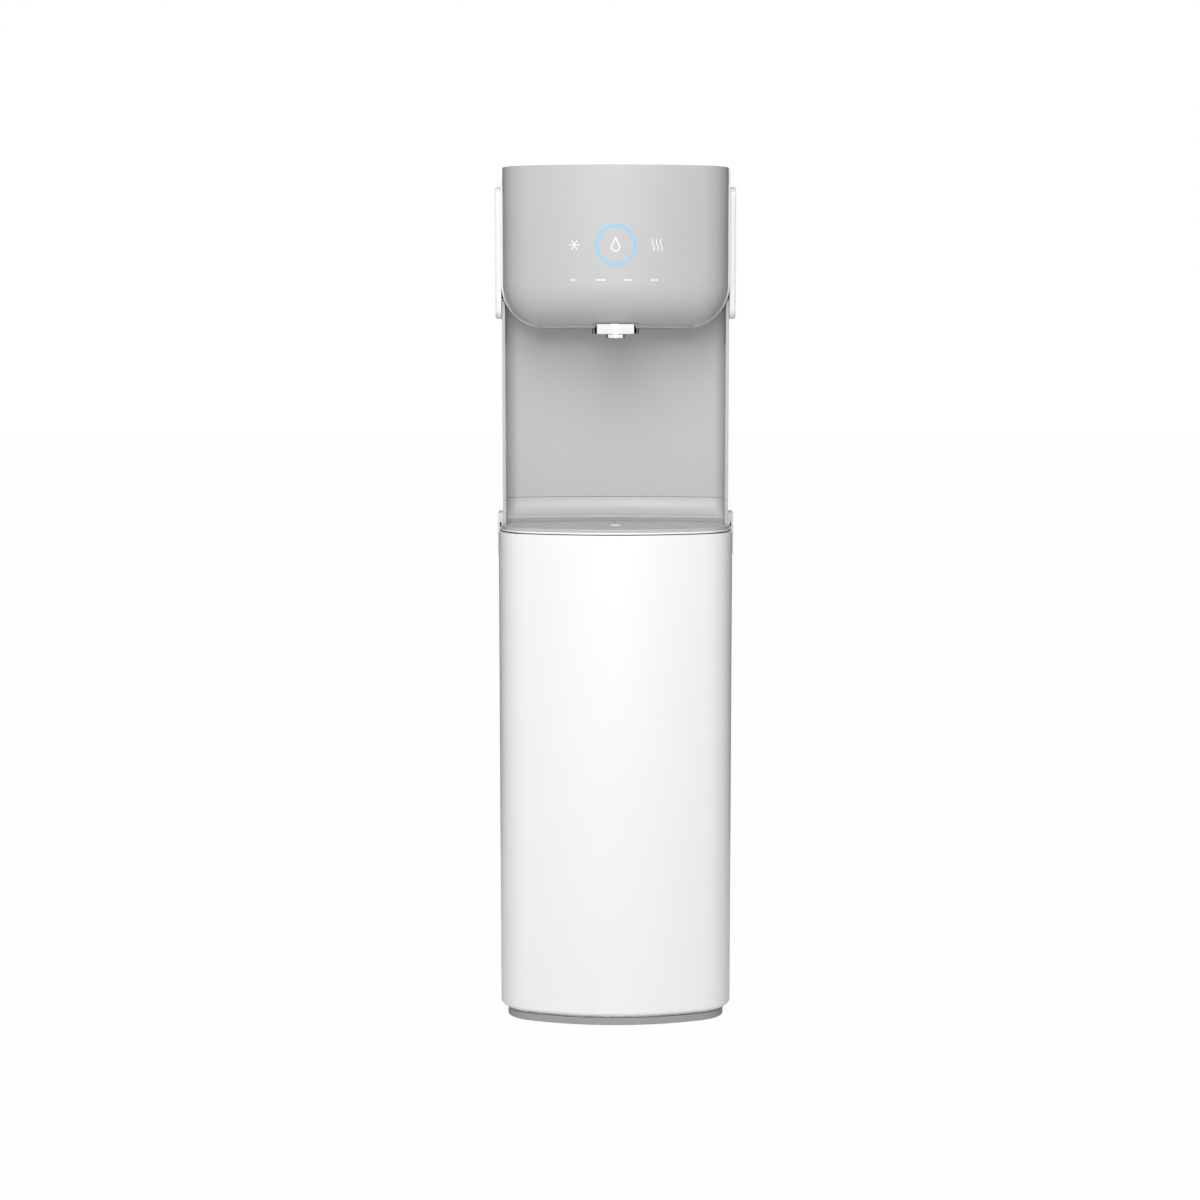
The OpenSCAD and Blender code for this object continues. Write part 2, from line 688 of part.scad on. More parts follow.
module drip_grille() {
  color(c_grey) translate([0, 0, grille_z - grille_t]) linear_extrude(grille_t) difference() {
    polygon(tray_outline(tray_rim_t + 0.3, nose_r - 0.9));
    for (row = [0:10]) for (col = [-11:11])
      let (x = (col + (row % 2) / 2) * hole_pitch_x, y = front_y + 13 + row * hole_pitch_y)
        if (hole_fits(x, y)) translate([x, y]) circle(r = grille_hole_r, $fn = 24);
    translate([0, float_y]) circle(r = float_hole_r, $fn = 48);
  }
}

module tray_float() {
  color(c_white) translate([0, float_y, bowl_z + 4.6]) rotate_extrude($fn = 48)
    polygon([[0, 0], [7, 0], [7.6, 0.8], [7.6, 18.6], [6.8, 19.8], [5, 20.5], [0, 20.7]]);
}

// ---------------------------------------------------------------- nozzle and touch panel

module nozzle_flange() {
  color([0.9, 0.9, 0.92]) difference() {
    union() {
      translate([0, nozzle_y, flange_z]) cylinder(h = 8.4, r = 28.5, $fn = 96);
      translate([0, neck_y, head_z - 1.2]) cylinder(h = 14, r = nozzle_neck_r - 0.1, $fn = 64);
    }
    translate([0, nozzle_y, flange_z - 1]) cylinder(h = 7.2, r = 10, $fn = 64);
    translate([0, neck_y, flange_z + channel_z]) cylinder(h = 26, r = 5, $fn = 48);
    translate([0, nozzle_y, flange_z + channel_z]) rotate([-90, 0, 0])
      cylinder(h = neck_y - nozzle_y, r = channel_r, $fn = 32);
  }
}
module nozzle_spout() {
  color([0.9, 0.9, 0.92]) translate([0, nozzle_y, 0]) difference() {
    union() {
      translate([0, 0, flange_z - 5]) cylinder(h = 4.9, r = 11.5, $fn = 72);
      translate([0, 0, flange_z - 0.2]) cylinder(h = 6.2, r = 9.9, $fn = 64);
    }
    translate([0, 0, flange_z - 6]) cylinder(h = 30, r = 5, $fn = 48);
    translate([0, 0, flange_z + channel_z]) rotate([-90, 0, 0])
      cylinder(h = 12, r = channel_r, $fn = 32);
  }
}

ring_z = 969.5;
ring_line = 2.9;
mark_in = 0.05;
mark_out = 0.3;

// Thin curved layer that lies just proud of the head cover's front
module on_front() {
  intersection() {
    translate([0, head_front_y + front_r, head_z + 20]) difference() {
      cylinder(h = 160, r = front_r + mark_out, $fn = 720);
      translate([0, 0, -1]) cylinder(h = 162, r = front_r + mark_in, $fn = 720);
    }
    translate([0, head_front_y + 30, 0]) rotate([90, 0, 0]) linear_extrude(40) children();
  }
}

module light_ring() {
  color(c_blue) on_front() translate([0, ring_z]) difference() {
    circle(d = ring_d, $fn = 96);
    circle(d = ring_d - 2 * ring_line, $fn = 96);
  }
}

// Outline of a drop: a round belly of radius r and a point h above its centre
function drop_pts(r, h) =
  let (a0 = asin(r / h))
  concat([[0, h]], [for (k = [0:16]) let (a = 180 - a0 + (180 + 2 * a0) * k / 16) [r * cos(a), r * sin(a)]]);
icon_x = 49.6;

module touch_icons() {
  color(c_white) on_front() union() {
    translate([0, ring_z - 2.6]) difference() {
      polygon(drop_pts(5.4, 12.9));
      polygon(drop_pts(4.2, 10.1));
    }
    translate([-icon_x, ring_z]) for (a = [0, 60, 120]) rotate(a) square([13, 1], center = true);
    for (k = [-1, 0, 1]) translate([icon_x + 0.8 + k * 4.8, ring_z]) polygon(concat(
      [for (i = [0:12]) [1.3 * sin(30 * i) - 0.5, -7.2 + 1.2 * i]],
      [for (i = [12:-1:0]) [1.3 * sin(30 * i) + 0.5, -7.2 + 1.2 * i]]
    ));
  }
}

label_z = 927.7;
label_x = [-51.3, -17.8, 14.8, 47.3];
label_dashes = [2, 4, 3, 3];
label_pitch = 3.1;

module label_marks() {
  color(c_white) on_front() for (k = [0:3]) for (i = [1:label_dashes[k]])
    translate([label_x[k] + (i - (label_dashes[k] + 1) / 2) * label_pitch, label_z])
      square([1.9, 1.7 + 0.5 * (i % 2)], center = true);
}

module control_board() {
  color([0.1, 0.35, 0.2]) {
    translate([-75, front_y + 26, 905]) cube([150, 1.6, 100]);
    translate([-30, front_y + 27.8, 940]) cube([60, 12, 50]);
  }
}

// ---------------------------------------------------------------- side covers and latches

cover_gap = 0.2;
side_cover_t = 7.6;
side_cover_z = [881, 1043];
side_cover_y = [housing_front_y + 9, housing_front_y + 190];

module side_cover(side) {
  h = side_cover_z[1] - side_cover_z[0];
  d = side_cover_y[1] - side_cover_y[0];
  x0 = shell_hw + cover_gap;
  color([0.86, 0.86, 0.86]) mirror([side < 0 ? 1 : 0, 0, 0])
    translate([x0, (side_cover_y[0] + side_cover_y[1]) / 2, (side_cover_z[0] + side_cover_z[1]) / 2])
      rotate([90, 0, 90]) {
        linear_extrude(side_cover_t - 2) polygon(round_rect(d, h, 12));
        translate([0, 0, side_cover_t - 2.01]) linear_extrude(1.01) polygon(round_rect(d - 1, h - 1, 11.5));
        translate([0, 0, side_cover_t - 1.01]) linear_extrude(1.01) polygon(round_rect(d - 3, h - 3, 10.5));
      }
}

latch_y = -30;
latch_w = 44;
latch_z = [583, 635];
latch_out = cab_hw + 4.5;
latch_plate_t = 2.6;
latch_pin_x = latch_out - 1.5;
latch_pin_z = latch_z[0] + 1.7;
latch_pin_r = 0.9;
hook_z = latch_z[1] - 8;
hook_x = shell_hw + 0.6;

// The latch plate turns about a pin at its lower end and hooks over the upper unit's keeper
module latch(side) {
  color([0.86, 0.86, 0.86]) mirror([side < 0 ? 1 : 0, 0, 0]) difference() {
    union() {
      translate([latch_out, latch_y, (latch_z[0] + latch_z[1]) / 2]) rotate([90, 0, -90])
        linear_extrude(latch_plate_t) polygon(round_rect(latch_w, latch_z[1] - latch_z[0], 5));
      translate([latch_pin_x - 2, latch_y - 16, latch_z[0] + 0.1]) cube([2.5, 32, 6]);
      translate([0, latch_y - latch_w / 2 + 2, 0]) {
        translate([hook_x, 0, hook_z]) cube([latch_out - 1 - hook_x, latch_w - 4, latch_z[1] - hook_z - 0.4]);
        translate([hook_x + 2.3, 0, deck_top + 1]) cube([latch_out - hook_x - 3.3, latch_w - 4, 6]);
      }
    }
    translate([latch_pin_x, latch_y - 30, latch_pin_z]) rotate([-90, 0, 0])
      cylinder(h = 60, r = latch_pin_r + run_fit, $fn = 40);
  }
}

// Pin and its two ears on the cabinet, and the keeper on the upper unit
module latch_mounts() {
  ear = 4;
  half = latch_w / 2 + 0.4;
  color(c_steel) for (s = [-1, 1]) mirror([s < 0 ? 1 : 0, 0, 0]) {
    translate([latch_pin_x, latch_y - half - ear + 0.5, latch_pin_z]) rotate([-90, 0, 0])
      cylinder(h = 2 * (half + ear) - 1, r = latch_pin_r, $fn = 40);
    for (y = [latch_y - half - ear, latch_y + half])
      translate([cab_hw + 0.02, y, latch_pin_z - 1.7]) cube([4.4, ear, 4.5]);
    translate([shell_hw + 0.1, latch_y - 17, hook_z - 4]) cube([2.4, 34, 3]);
  }
}

// ---------------------------------------------------------------- tanks, pipes and switches

cold_pos = [-60, 62];
hot_pos = [74, 74];
tank_z = 790;

module cold_tank() {
  color(c_steel) translate([cold_pos[0], cold_pos[1], tank_z]) rotate_extrude($fn = 72) polygon(concat(
    [[0, 0], [60, 0], [68, 8], [68, 190]],
    [for (i = [1:6]) [68 * cos(15 * i), 190 + 14 * sin(15 * i)]]
  ));
}

module hot_tank() {
  color(c_steel) translate([hot_pos[0], hot_pos[1], tank_z]) {
    rotate_extrude($fn = 64) polygon([[0, 0], [40, 0], [46, 6], [46, 164], [40, 170], [0, 170]]);
    translate([0, 0, 60]) difference() {
      cylinder(h = 24, r = 49, $fn = 64);
      translate([0, 0, -1]) cylinder(h = 26, r = 45.9, $fn = 64);
    }
  }
}

module tank_pipes() {
  color([0.85, 0.9, 0.95]) {
    bar(rounded_path([
      [0, neck_y, head_z + 12], [0, neck_y, 930], [0, -20, 930], [20, -20, 930], [20, 70, 930]
    ], 12), 3.2, [1, 0.3, 0.2]);
    bar(rounded_path([
      [cold_pos[0], cold_pos[1], tank_z - 1], [cold_pos[0], cold_pos[1], 720], [-20, 90, 690], [-20, 90, 580],
      [-20, 60, 560]
    ], 12), 3.2, [1, 0.5, 0.1]);
  }
}

rocker_w = 10;
rocker_h = 18;

module switch_frames() {
  color(c_dark) for (s = [-1, 1]) translate([s * switch_x, rear_y + 0.1, switch_z]) rotate([-90, 0, 0])
    difference() {
      union() {
        linear_extrude(2) polygon(round_rect(18, 26, 2));
        translate([0, 0, -14]) linear_extrude(14.1) polygon(rect_pts(13.6, 21.6));
      }
      translate([0, 0, -12]) linear_extrude(16) polygon(rect_pts(rocker_w + 0.8, rocker_h + 1.6));
      translate([-6.2, 0, -2.5]) rotate([0, 90, 0]) cylinder(h = 12.4, r = 1.5 + run_fit, $fn = 32);
    }
}

module switch_rocker(s) {
  color(s < 0 ? [0.75, 0.1, 0.1] : [0.15, 0.45, 0.8]) translate([s * switch_x, rear_y + 0.1, switch_z])
    rotate([0, 90, 0]) {
      translate([0, -2.5, -6]) cylinder(h = 12, r = 1.5, $fn = 32);
      translate([0, 0, -rocker_w / 2]) linear_extrude(rocker_w)
        polygon([[-9, 0.3], [-9, -5], [9, -5], [8.6, 1.5], [8, 3.7], [0, 1.4]]);
    }
}

base_pan();
plinth_skirt();
foot(0);  // foot_1
foot(1);  // foot_2
foot(2);  // foot_3
foot(3);  // foot_4
side_panel(-1);  // side_panel_left
side_panel(1);  // side_panel_right
rear_panel();
front_posts();
top_deck();
door_shell();
door_fittings();
hinge_pins();
door_catch();
filter_manifold();
filter_cartridge(0);  // filter_1
filter_cartridge(1);  // filter_2
filter_cartridge(2);  // filter_3
booster_pump();
inlet_valve();
compressor();
compressor_mounts();
condenser_tube();
condenser_wires();
filter_drier();
inlet_fitting();
drain_stub();
drain_cap();
power_inlet();
upper_side(-1);  // upper_side_left
upper_side(1);  // upper_side_right
upper_rear();
top_lid();
head_housing();
head_cover();
underside_plate();
alcove_panel();
cove();
tray_base();
drip_tray();
drip_grille();
tray_float();
nozzle_flange();
nozzle_spout();
light_ring();
touch_icons();
label_marks();
control_board();
side_cover(-1);  // side_cover_left
side_cover(1);  // side_cover_right
latch(-1);  // latch_left
latch(1);  // latch_right
latch_mounts();
cold_tank();
hot_tank();
tank_pipes();
switch_frames();
switch_rocker(-1);  // switch_rocker_hot
switch_rocker(1);  // switch_rocker_cold
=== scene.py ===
"""Looks of a floor-standing water dispenser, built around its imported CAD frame."""

import math

import bmesh
import bpy
from mathutils import Matrix, Vector


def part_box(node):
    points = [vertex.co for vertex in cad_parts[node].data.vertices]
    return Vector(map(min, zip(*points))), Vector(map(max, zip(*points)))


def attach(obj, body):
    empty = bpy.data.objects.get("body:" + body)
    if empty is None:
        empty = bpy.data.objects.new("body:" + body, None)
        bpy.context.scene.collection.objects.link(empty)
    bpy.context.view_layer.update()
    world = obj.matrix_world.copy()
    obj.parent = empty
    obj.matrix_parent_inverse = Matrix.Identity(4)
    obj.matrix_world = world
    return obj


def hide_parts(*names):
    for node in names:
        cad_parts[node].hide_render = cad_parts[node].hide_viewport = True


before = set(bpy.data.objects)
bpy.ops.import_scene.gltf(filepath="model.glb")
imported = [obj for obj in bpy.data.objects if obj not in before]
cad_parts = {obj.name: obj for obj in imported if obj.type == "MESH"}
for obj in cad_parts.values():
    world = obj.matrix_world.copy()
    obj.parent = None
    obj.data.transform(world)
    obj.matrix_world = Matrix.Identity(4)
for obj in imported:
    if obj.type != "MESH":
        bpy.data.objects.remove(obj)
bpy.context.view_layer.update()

MM = 0.001
BODY = "frame"        # the body that fixed pieces ride on
FRONT_R = 300 * MM    # radius of the gently curved fronts, in plan
CORNER_R = 50 * MM    # radius of their upright corners
FRONT_STEPS = 40      # steps along a front
CORNER_STEPS = 14     # steps round each of its corners

# ------------------------------------------------------------------ materials

SHARED = {}           # finishes made so far, by name


def link(tree, a, b):
    """Joins one node's output to another's input."""
    tree.links.new(a, b)


def noise(tree, scale, detail=2.0, rough=0.5, stretch=None):
    """Noise in the frame's own metres: scale is its count per metre."""
    coord = tree.nodes.new("ShaderNodeTexCoord")
    tex = tree.nodes.new("ShaderNodeTexNoise")
    tex.inputs["Scale"].default_value = scale
    tex.inputs["Detail"].default_value = detail
    tex.inputs["Roughness"].default_value = rough
    if stretch:
        mapping = tree.nodes.new("ShaderNodeMapping")
        mapping.inputs["Scale"].default_value = stretch
        link(tree, coord.outputs["Object"], mapping.inputs["Vector"])
        link(tree, mapping.outputs["Vector"], tex.inputs["Vector"])
    else:
        link(tree, coord.outputs["Object"], tex.inputs["Vector"])
    return tex


def spread(tree, fac, low, high):
    """Maps a pattern's middle range to low..high."""
    node = tree.nodes.new("ShaderNodeMapRange")
    node.inputs["From Min"].default_value = 0.3
    node.inputs["From Max"].default_value = 0.7
    node.inputs["To Min"].default_value = low
    node.inputs["To Max"].default_value = high
    link(tree, fac, node.inputs["Value"])
    return node.outputs["Result"]


def two_tone(tree, fac, a, b):
    """Fades from colour a to colour b over a pattern's middle range."""
    ramp = tree.nodes.new("ShaderNodeValToRGB")
    ramp.color_ramp.elements[0].position = 0.3
    ramp.color_ramp.elements[1].position = 0.7
    ramp.color_ramp.elements[0].color = (*a, 1)
    ramp.color_ramp.elements[1].color = (*b, 1)
    link(tree, fac, ramp.inputs["Fac"])
    return ramp.outputs["Color"]


def bump(tree, height, distance):
    """A fine relief of a pattern, distance deep."""
    node = tree.nodes.new("ShaderNodeBump")
    node.inputs["Distance"].default_value = distance
    link(tree, height, node.inputs["Height"])
    return node.outputs["Normal"]


def material(name, color, rough, metallic=0.0, tone=0.02, tone_scale=9.0, rough_spread=0.04,
             rough_scale=35.0, grain=1800.0, grain_depth=0.00002, coat=0.0, spec=0.5,
             stretch=None, emission=None, emission_strength=0.0):
    """A procedural finish: slow colour drift, uneven gloss, and a fine moulded or brushed grain."""
    if name in SHARED:
        return SHARED[name]
    mat = bpy.data.materials.new(name)
    mat.use_nodes = True
    tree = mat.node_tree
    shader = tree.nodes["Principled BSDF"]
    shader.inputs["Metallic"].default_value = metallic
    shader.inputs["Coat Weight"].default_value = coat
    shader.inputs["Coat Roughness"].default_value = 0.08
    shader.inputs["Specular IOR Level"].default_value = spec
    dark = tuple(max(0.0, c * (1 - tone)) for c in color)
    light = tuple(min(1.0, c * (1 + tone)) for c in color)
    drift = noise(tree, tone_scale, 3.0)
    link(tree, two_tone(tree, drift.outputs["Fac"], dark, light), shader.inputs["Base Color"])
    gloss = noise(tree, rough_scale, 4.0, 0.6, stretch)
    low, high = max(0.02, rough - rough_spread), rough + rough_spread
    link(tree, spread(tree, gloss.outputs["Fac"], low, high), shader.inputs["Roughness"])
    fine = noise(tree, grain, 2.0, 0.5, stretch)
    link(tree, bump(tree, fine.outputs["Fac"], grain_depth), shader.inputs["Normal"])
    if emission:
        shader.inputs["Emission Color"].default_value = (*emission, 1)
        shader.inputs["Emission Strength"].default_value = emission_strength
    SHARED[name] = mat
    return mat


def white_gloss():
    return material("white_gloss", (0.87, 0.87, 0.87), 0.32, tone=0.006, grain=900, grain_depth=0.000005,
                    rough_spread=0.02, coat=0.12)


def white_enamel():
    return material("white_enamel", (0.83, 0.83, 0.825), 0.38, tone=0.01, grain=1500, grain_depth=0.00003,
                    rough_spread=0.05)


def grey_satin():
    return material("grey_satin", (0.49, 0.49, 0.493), 0.42, tone=0.012, grain=2600, grain_depth=0.000018,
                    rough_spread=0.04)


def grey_tray():
    return material("grey_tray", (0.47, 0.47, 0.473), 0.46, tone=0.02, grain=2200, grain_depth=0.00003,
                    rough_spread=0.05)


def cover_plastic():
    return material("cover_plastic", (0.79, 0.79, 0.79), 0.36, tone=0.012, grain=2000, grain_depth=0.00002)


def plinth_plastic():
    return material("plinth_plastic", (0.33, 0.33, 0.33), 0.5, tone=0.04, grain=1600, grain_depth=0.00005)


def chrome():
    return material("chrome", (0.93, 0.93, 0.94), 0.06, metallic=1.0, tone=0.01, grain=900,
                    grain_depth=0.000002, rough_spread=0.025, rough_scale=140)


def stainless():
    return material("stainless", (0.62, 0.62, 0.63), 0.28, metallic=1.0, tone=0.04, grain=900,
                    grain_depth=0.00001, rough_spread=0.07, stretch=(1, 1, 0.06))


def black_plastic():
    return material("black_plastic", (0.022, 0.022, 0.024), 0.45, tone=0.1, grain=1800, grain_depth=0.00005,
                    rough_spread=0.07)


def black_enamel():
    return material("black_enamel", (0.015, 0.015, 0.016), 0.3, tone=0.15, grain=420, grain_depth=0.00006,
                    rough_spread=0.08)


def rubber():
    return material("rubber", (0.03, 0.03, 0.031), 0.75, tone=0.12, grain=1400, grain_depth=0.00008,
                    rough_spread=0.1, spec=0.3)


def clear_tube():
    return material("clear_tube", (0.82, 0.86, 0.88), 0.22, tone=0.02, grain=900, grain_depth=0.00001,
                    coat=0.3)


def filter_plastic():
    return material("filter_plastic", (0.80, 0.81, 0.82), 0.25, tone=0.015, grain=800, grain_depth=0.00002,
                    coat=0.2)


def copper():
    return material("copper", (0.72, 0.36, 0.22), 0.3, metallic=1.0, tone=0.18, tone_scale=60, grain=500,
                    grain_depth=0.00002, rough_spread=0.1)


def board_green():
    return material("board_green", (0.02, 0.13, 0.06), 0.35, tone=0.2, tone_scale=180, grain=1200,
                    grain_depth=0.00003, coat=0.3)


def valve_blue():
    return material("valve_blue", (0.05, 0.17, 0.42), 0.4, tone=0.05, grain=1500, grain_depth=0.00004)


def foam():
    return material("foam", (0.66, 0.62, 0.50), 0.9, tone=0.08, tone_scale=120, grain=380, grain_depth=0.0006,
                    spec=0.2)


def rocker_red():
    return material("rocker_red", (0.48, 0.02, 0.018), 0.25, tone=0.05, grain=900, grain_depth=0.00002,
                    coat=0.3)


def rocker_blue():
    return material("rocker_blue", (0.03, 0.12, 0.42), 0.25, tone=0.05, grain=900, grain_depth=0.00002,
                    coat=0.3)


def ring_light():
    return material("ring_light", (0.20, 0.52, 0.80), 0.35, tone=0.03, tone_scale=60, grain=1500,
                    grain_depth=0.00001, emission=(0.16, 0.50, 0.85), emission_strength=0.09)


def icon_light():
    return material("icon_light", (0.86, 0.87, 0.88), 0.35, tone=0.02, tone_scale=60, grain=1500,
                    grain_depth=0.00001, emission=(0.95, 0.98, 1.0), emission_strength=0.08)


def galvanised():
    """Zinc-coated sheet, with its spangle of crystals."""
    if "galvanised" in SHARED:
        return SHARED["galvanised"]
    mat = material("galvanised", (0.52, 0.53, 0.55), 0.36, metallic=0.9, tone=0.05, grain=1500,
                   grain_depth=0.00002, rough_spread=0.08)
    tree = mat.node_tree
    shader = tree.nodes["Principled BSDF"]
    coord = tree.nodes.new("ShaderNodeTexCoord")
    cells = tree.nodes.new("ShaderNodeTexVoronoi")
    cells.inputs["Scale"].default_value = 170
    link(tree, coord.outputs["Object"], cells.inputs["Vector"])
    split = tree.nodes.new("ShaderNodeSeparateColor")
    link(tree, cells.outputs["Color"], split.inputs["Color"])
    shade = two_tone(tree, split.outputs[0], (0.44, 0.45, 0.47), (0.60, 0.61, 0.63))
    link(tree, shade, shader.inputs["Base Color"])
    link(tree, spread(tree, split.outputs[1], 0.28, 0.46), shader.inputs["Roughness"])
    return mat


# Finish of every CAD node that is shown as it is, without a finer piece in its place.
NODE_LOOKS = {
    "base_pan": galvanised, "plinth_skirt": plinth_plastic, "foot_1": rubber, "foot_2": rubber,
    "foot_3": rubber, "foot_4": rubber, "side_panel_left": white_enamel, "side_panel_right": white_enamel,
    "rear_panel": white_enamel, "front_posts": galvanised, "top_deck": white_gloss,
    "door_fittings": galvanised, "hinge_pins": stainless, "door_catch": black_plastic,
    "filter_manifold": black_plastic, "booster_pump": black_enamel, "inlet_valve": valve_blue,
    "compressor": black_enamel, "compressor_mounts": rubber, "condenser_wires": black_enamel,
    "filter_drier": copper, "inlet_fitting": white_gloss,
    "drain_stub": white_gloss, "drain_cap": black_plastic, "power_inlet": black_plastic,
    "upper_side_left": white_gloss, "upper_side_right": white_gloss, "upper_rear": white_gloss,
    "top_lid": grey_satin, "underside_plate": grey_satin, "tray_base": grey_tray,
    "drip_tray": grey_tray, "drip_grille": grey_tray, "tray_float": cover_plastic,
    "light_ring": ring_light, "touch_icons": icon_light, "label_marks": icon_light,
    "control_board": board_green,
    "side_cover_left": cover_plastic, "side_cover_right": cover_plastic, "latch_left": cover_plastic,
    "latch_right": cover_plastic, "latch_mounts": stainless, "cold_tank": foam, "hot_tank": stainless,
    "tank_pipes": clear_tube, "switch_frames": black_plastic, "switch_rocker_hot": rocker_red,
    "switch_rocker_cold": rocker_blue,
}

# Edge rounding of those nodes, in mm: the usual one, and where it differs.
USUAL_BEVEL = 0.4
NODE_BEVELS = {
    "side_cover_left": 0.9, "side_cover_right": 0.9, "latch_left": 0.5, "latch_right": 0.5,
    "light_ring": 0.05, "touch_icons": 0.04, "label_marks": 0.04, "drip_grille": 0.3, "top_deck": 0.7,
    "condenser_wires": 0.0, "tank_pipes": 0.0, "upper_side_left": 0.8, "upper_side_right": 0.8,
    "base_pan": 0.3,
}

# ------------------------------------------------------------------ mesh helpers

SAME_PLACE = 1e-7     # points closer than this are one point
CAD_SAME_PLACE = 1e-6  # the same for the nodes from the CAD
ON_AXIS = 1e-9        # a radius below this is a point on a lathe's axis


def soften(obj, width, angle=34.0, segments=2, weld=True):
    """Rounds sharp edges and lets flat faces stay flat, without moving a vertex of the stored mesh."""
    for poly in obj.data.polygons:
        poly.use_smooth = True
    if weld:
        join = obj.modifiers.new("weld", "WELD")
        join.merge_threshold = CAD_SAME_PLACE
    if width > 0:
        bevel = obj.modifiers.new("edges", "BEVEL")
        bevel.width = width
        bevel.segments = segments
        bevel.limit_method = "ANGLE"
        bevel.angle_limit = math.radians(angle)
    shade = obj.modifiers.new("shade", "WEIGHTED_NORMAL")
    shade.keep_sharp = True
    shade.weight = 80


def make(name, verts, faces, mat, body=BODY, slot=None, replaces=(), bevel=0.0004, angle=34.0,
         segments=2):
    """A piece from points and faces, riding on a body."""
    mesh = bpy.data.meshes.new(name)
    bm = bmesh.new()
    made = [bm.verts.new(v) for v in verts]
    for f in faces:
        ring = [made[i] for i in f]
        if len(set(ring)) == len(ring):
            bm.faces.new(ring)
    bmesh.ops.remove_doubles(bm, verts=bm.verts, dist=SAME_PLACE)
    bmesh.ops.recalc_face_normals(bm, faces=bm.faces)
    bm.to_mesh(mesh)
    bm.free()
    obj = bpy.data.objects.new(name, mesh)
    bpy.context.scene.collection.objects.link(obj)
    mesh.materials.append(mat)
    soften(obj, bevel, angle, segments, weld=False)
    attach(obj, body)
    if replaces:
        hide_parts(*replaces)
    return obj


def front_arc(hw, y0, rf, rc):
    """Plan outline of a curved front, from its left side round to its right side.

    hw is half its width, y0 its foremost point, rf the front's radius and rc its corners' radius.
    """
    bend = math.asin((hw - rc) / (rf - rc))
    yc, cx = y0 + rf, hw - rc
    cy = yc - (rf - rc) * math.cos(bend)
    pts = []
    for k in range(CORNER_STEPS):
        a = math.pi + (math.pi / 2 - bend) * k / CORNER_STEPS
        pts.append((-cx + rc * math.cos(a), cy + rc * math.sin(a)))
    for k in range(FRONT_STEPS + 1):
        a = 1.5 * math.pi - bend + 2 * bend * k / FRONT_STEPS
        pts.append((rf * math.cos(a), yc + rf * math.sin(a)))
    for k in range(1, CORNER_STEPS + 1):
        a = 1.5 * math.pi + bend + (math.pi / 2 - bend) * k / CORNER_STEPS
        pts.append((cx + rc * math.cos(a), cy + rc * math.sin(a)))
    return pts


def inset_front(box, t):
    """The front outline of a node's box, moved inwards by t."""
    lo, hi = box
    return front_arc(hi[0] - t, lo[1] + t, FRONT_R - t, CORNER_R - t)


def lift(pts, z):
    """A plan outline set at height z."""
    return [(p[0], p[1], z) for p in pts]


def skin_faces(rows, cols):
    """Faces of a wall between two equal grids, its four edges closed as well."""
    def o(j, i):
        """A point of the outer grid."""
        return j * cols + i

    def s(j, i):
        """The same point of the inner grid."""
        return rows * cols + j * cols + i

    faces = []
    for j in range(rows - 1):
        for i in range(cols - 1):
            faces.append((o(j, i), o(j + 1, i), o(j + 1, i + 1), o(j, i + 1)))
            faces.append((s(j, i), s(j, i + 1), s(j + 1, i + 1), s(j + 1, i)))
    for i in range(cols - 1):
        faces.append((o(0, i), o(0, i + 1), s(0, i + 1), s(0, i)))
        faces.append((o(rows - 1, i), s(rows - 1, i), s(rows - 1, i + 1), o(rows - 1, i + 1)))
    for j in range(rows - 1):
        faces.append((o(j, 0), s(j, 0), s(j + 1, 0), o(j + 1, 0)))
        faces.append((o(j, cols - 1), o(j + 1, cols - 1), s(j + 1, cols - 1), s(j, cols - 1)))
    return faces


def skin(name, outer, inner, mat, **kw):
    """A walled piece, from the rows of its outer and its inner side."""
    verts = [p for row in outer for p in row] + [p for row in inner for p in row]
    return make(name, verts, skin_faces(len(outer), len(outer[0])), mat, **kw)


def prism_data(outline, z0, z1, place):
    """Points and faces of a plate of any outline, moved by place."""
    n = len(outline)
    verts = [tuple(place @ Vector(v)) for v in lift(outline, z0) + lift(outline, z1)]
    faces = [tuple(range(n)), tuple(range(n, 2 * n))]
    faces += [(k, (k + 1) % n, n + (k + 1) % n, n + k) for k in range(n)]
    return verts, faces


def lathe_data(profile, steps, place):
    """Points and faces of a solid of revolution about local Z; profile is (radius, height)."""
    verts, faces = [], []
    rows = []
    for r, z in profile:
        if r < ON_AXIS:
            rows.append([len(verts)] * steps)
            verts.append(tuple(place @ Vector((0, 0, z))))
        else:
            rows.append(list(range(len(verts), len(verts) + steps)))
            for k in range(steps):
                a = 2 * math.pi * k / steps
                verts.append(tuple(place @ Vector((r * math.cos(a), r * math.sin(a), z))))
    closed = profile[0] != profile[-1] and profile[0][0] > ON_AXIS
    pairs = list(zip(rows, rows[1:])) + ([(rows[-1], rows[0])] if closed else [])
    for a, b in pairs:
        for k in range(steps):
            m = (k + 1) % steps
            ring = []
            for v in (a[k], a[m], b[m], b[k]):
                if v not in ring:
                    ring.append(v)
            if len(ring) > 2:
                faces.append(tuple(ring))
    return verts, faces


def lathe(name, profile, mat, steps, place, **kw):
    """A turned piece."""
    verts, faces = lathe_data(profile, steps, place)
    return make(name, verts, faces, mat, **kw)


def centre(node):
    """Middle of a CAD node's box."""
    lo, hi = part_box(node)
    return (lo + hi) / 2


def rounded(points, radius, n=6):
    """A path with its corners eased by curves of n steps, radius long at most on each side."""
    pts = [Vector(p) for p in points]
    out = [pts[0]]
    for a, b, c in zip(pts, pts[1:], pts[2:]):
        r = min(radius, (a - b).length * 0.49, (c - b).length * 0.49)
        start, end = b + (a - b).normalized() * r, b + (c - b).normalized() * r
        for k in range(n + 1):
            t = k / n
            out.append(start * (1 - t) ** 2 + b * (2 * t * (1 - t)) + end * t ** 2)
    return out + [pts[-1]]


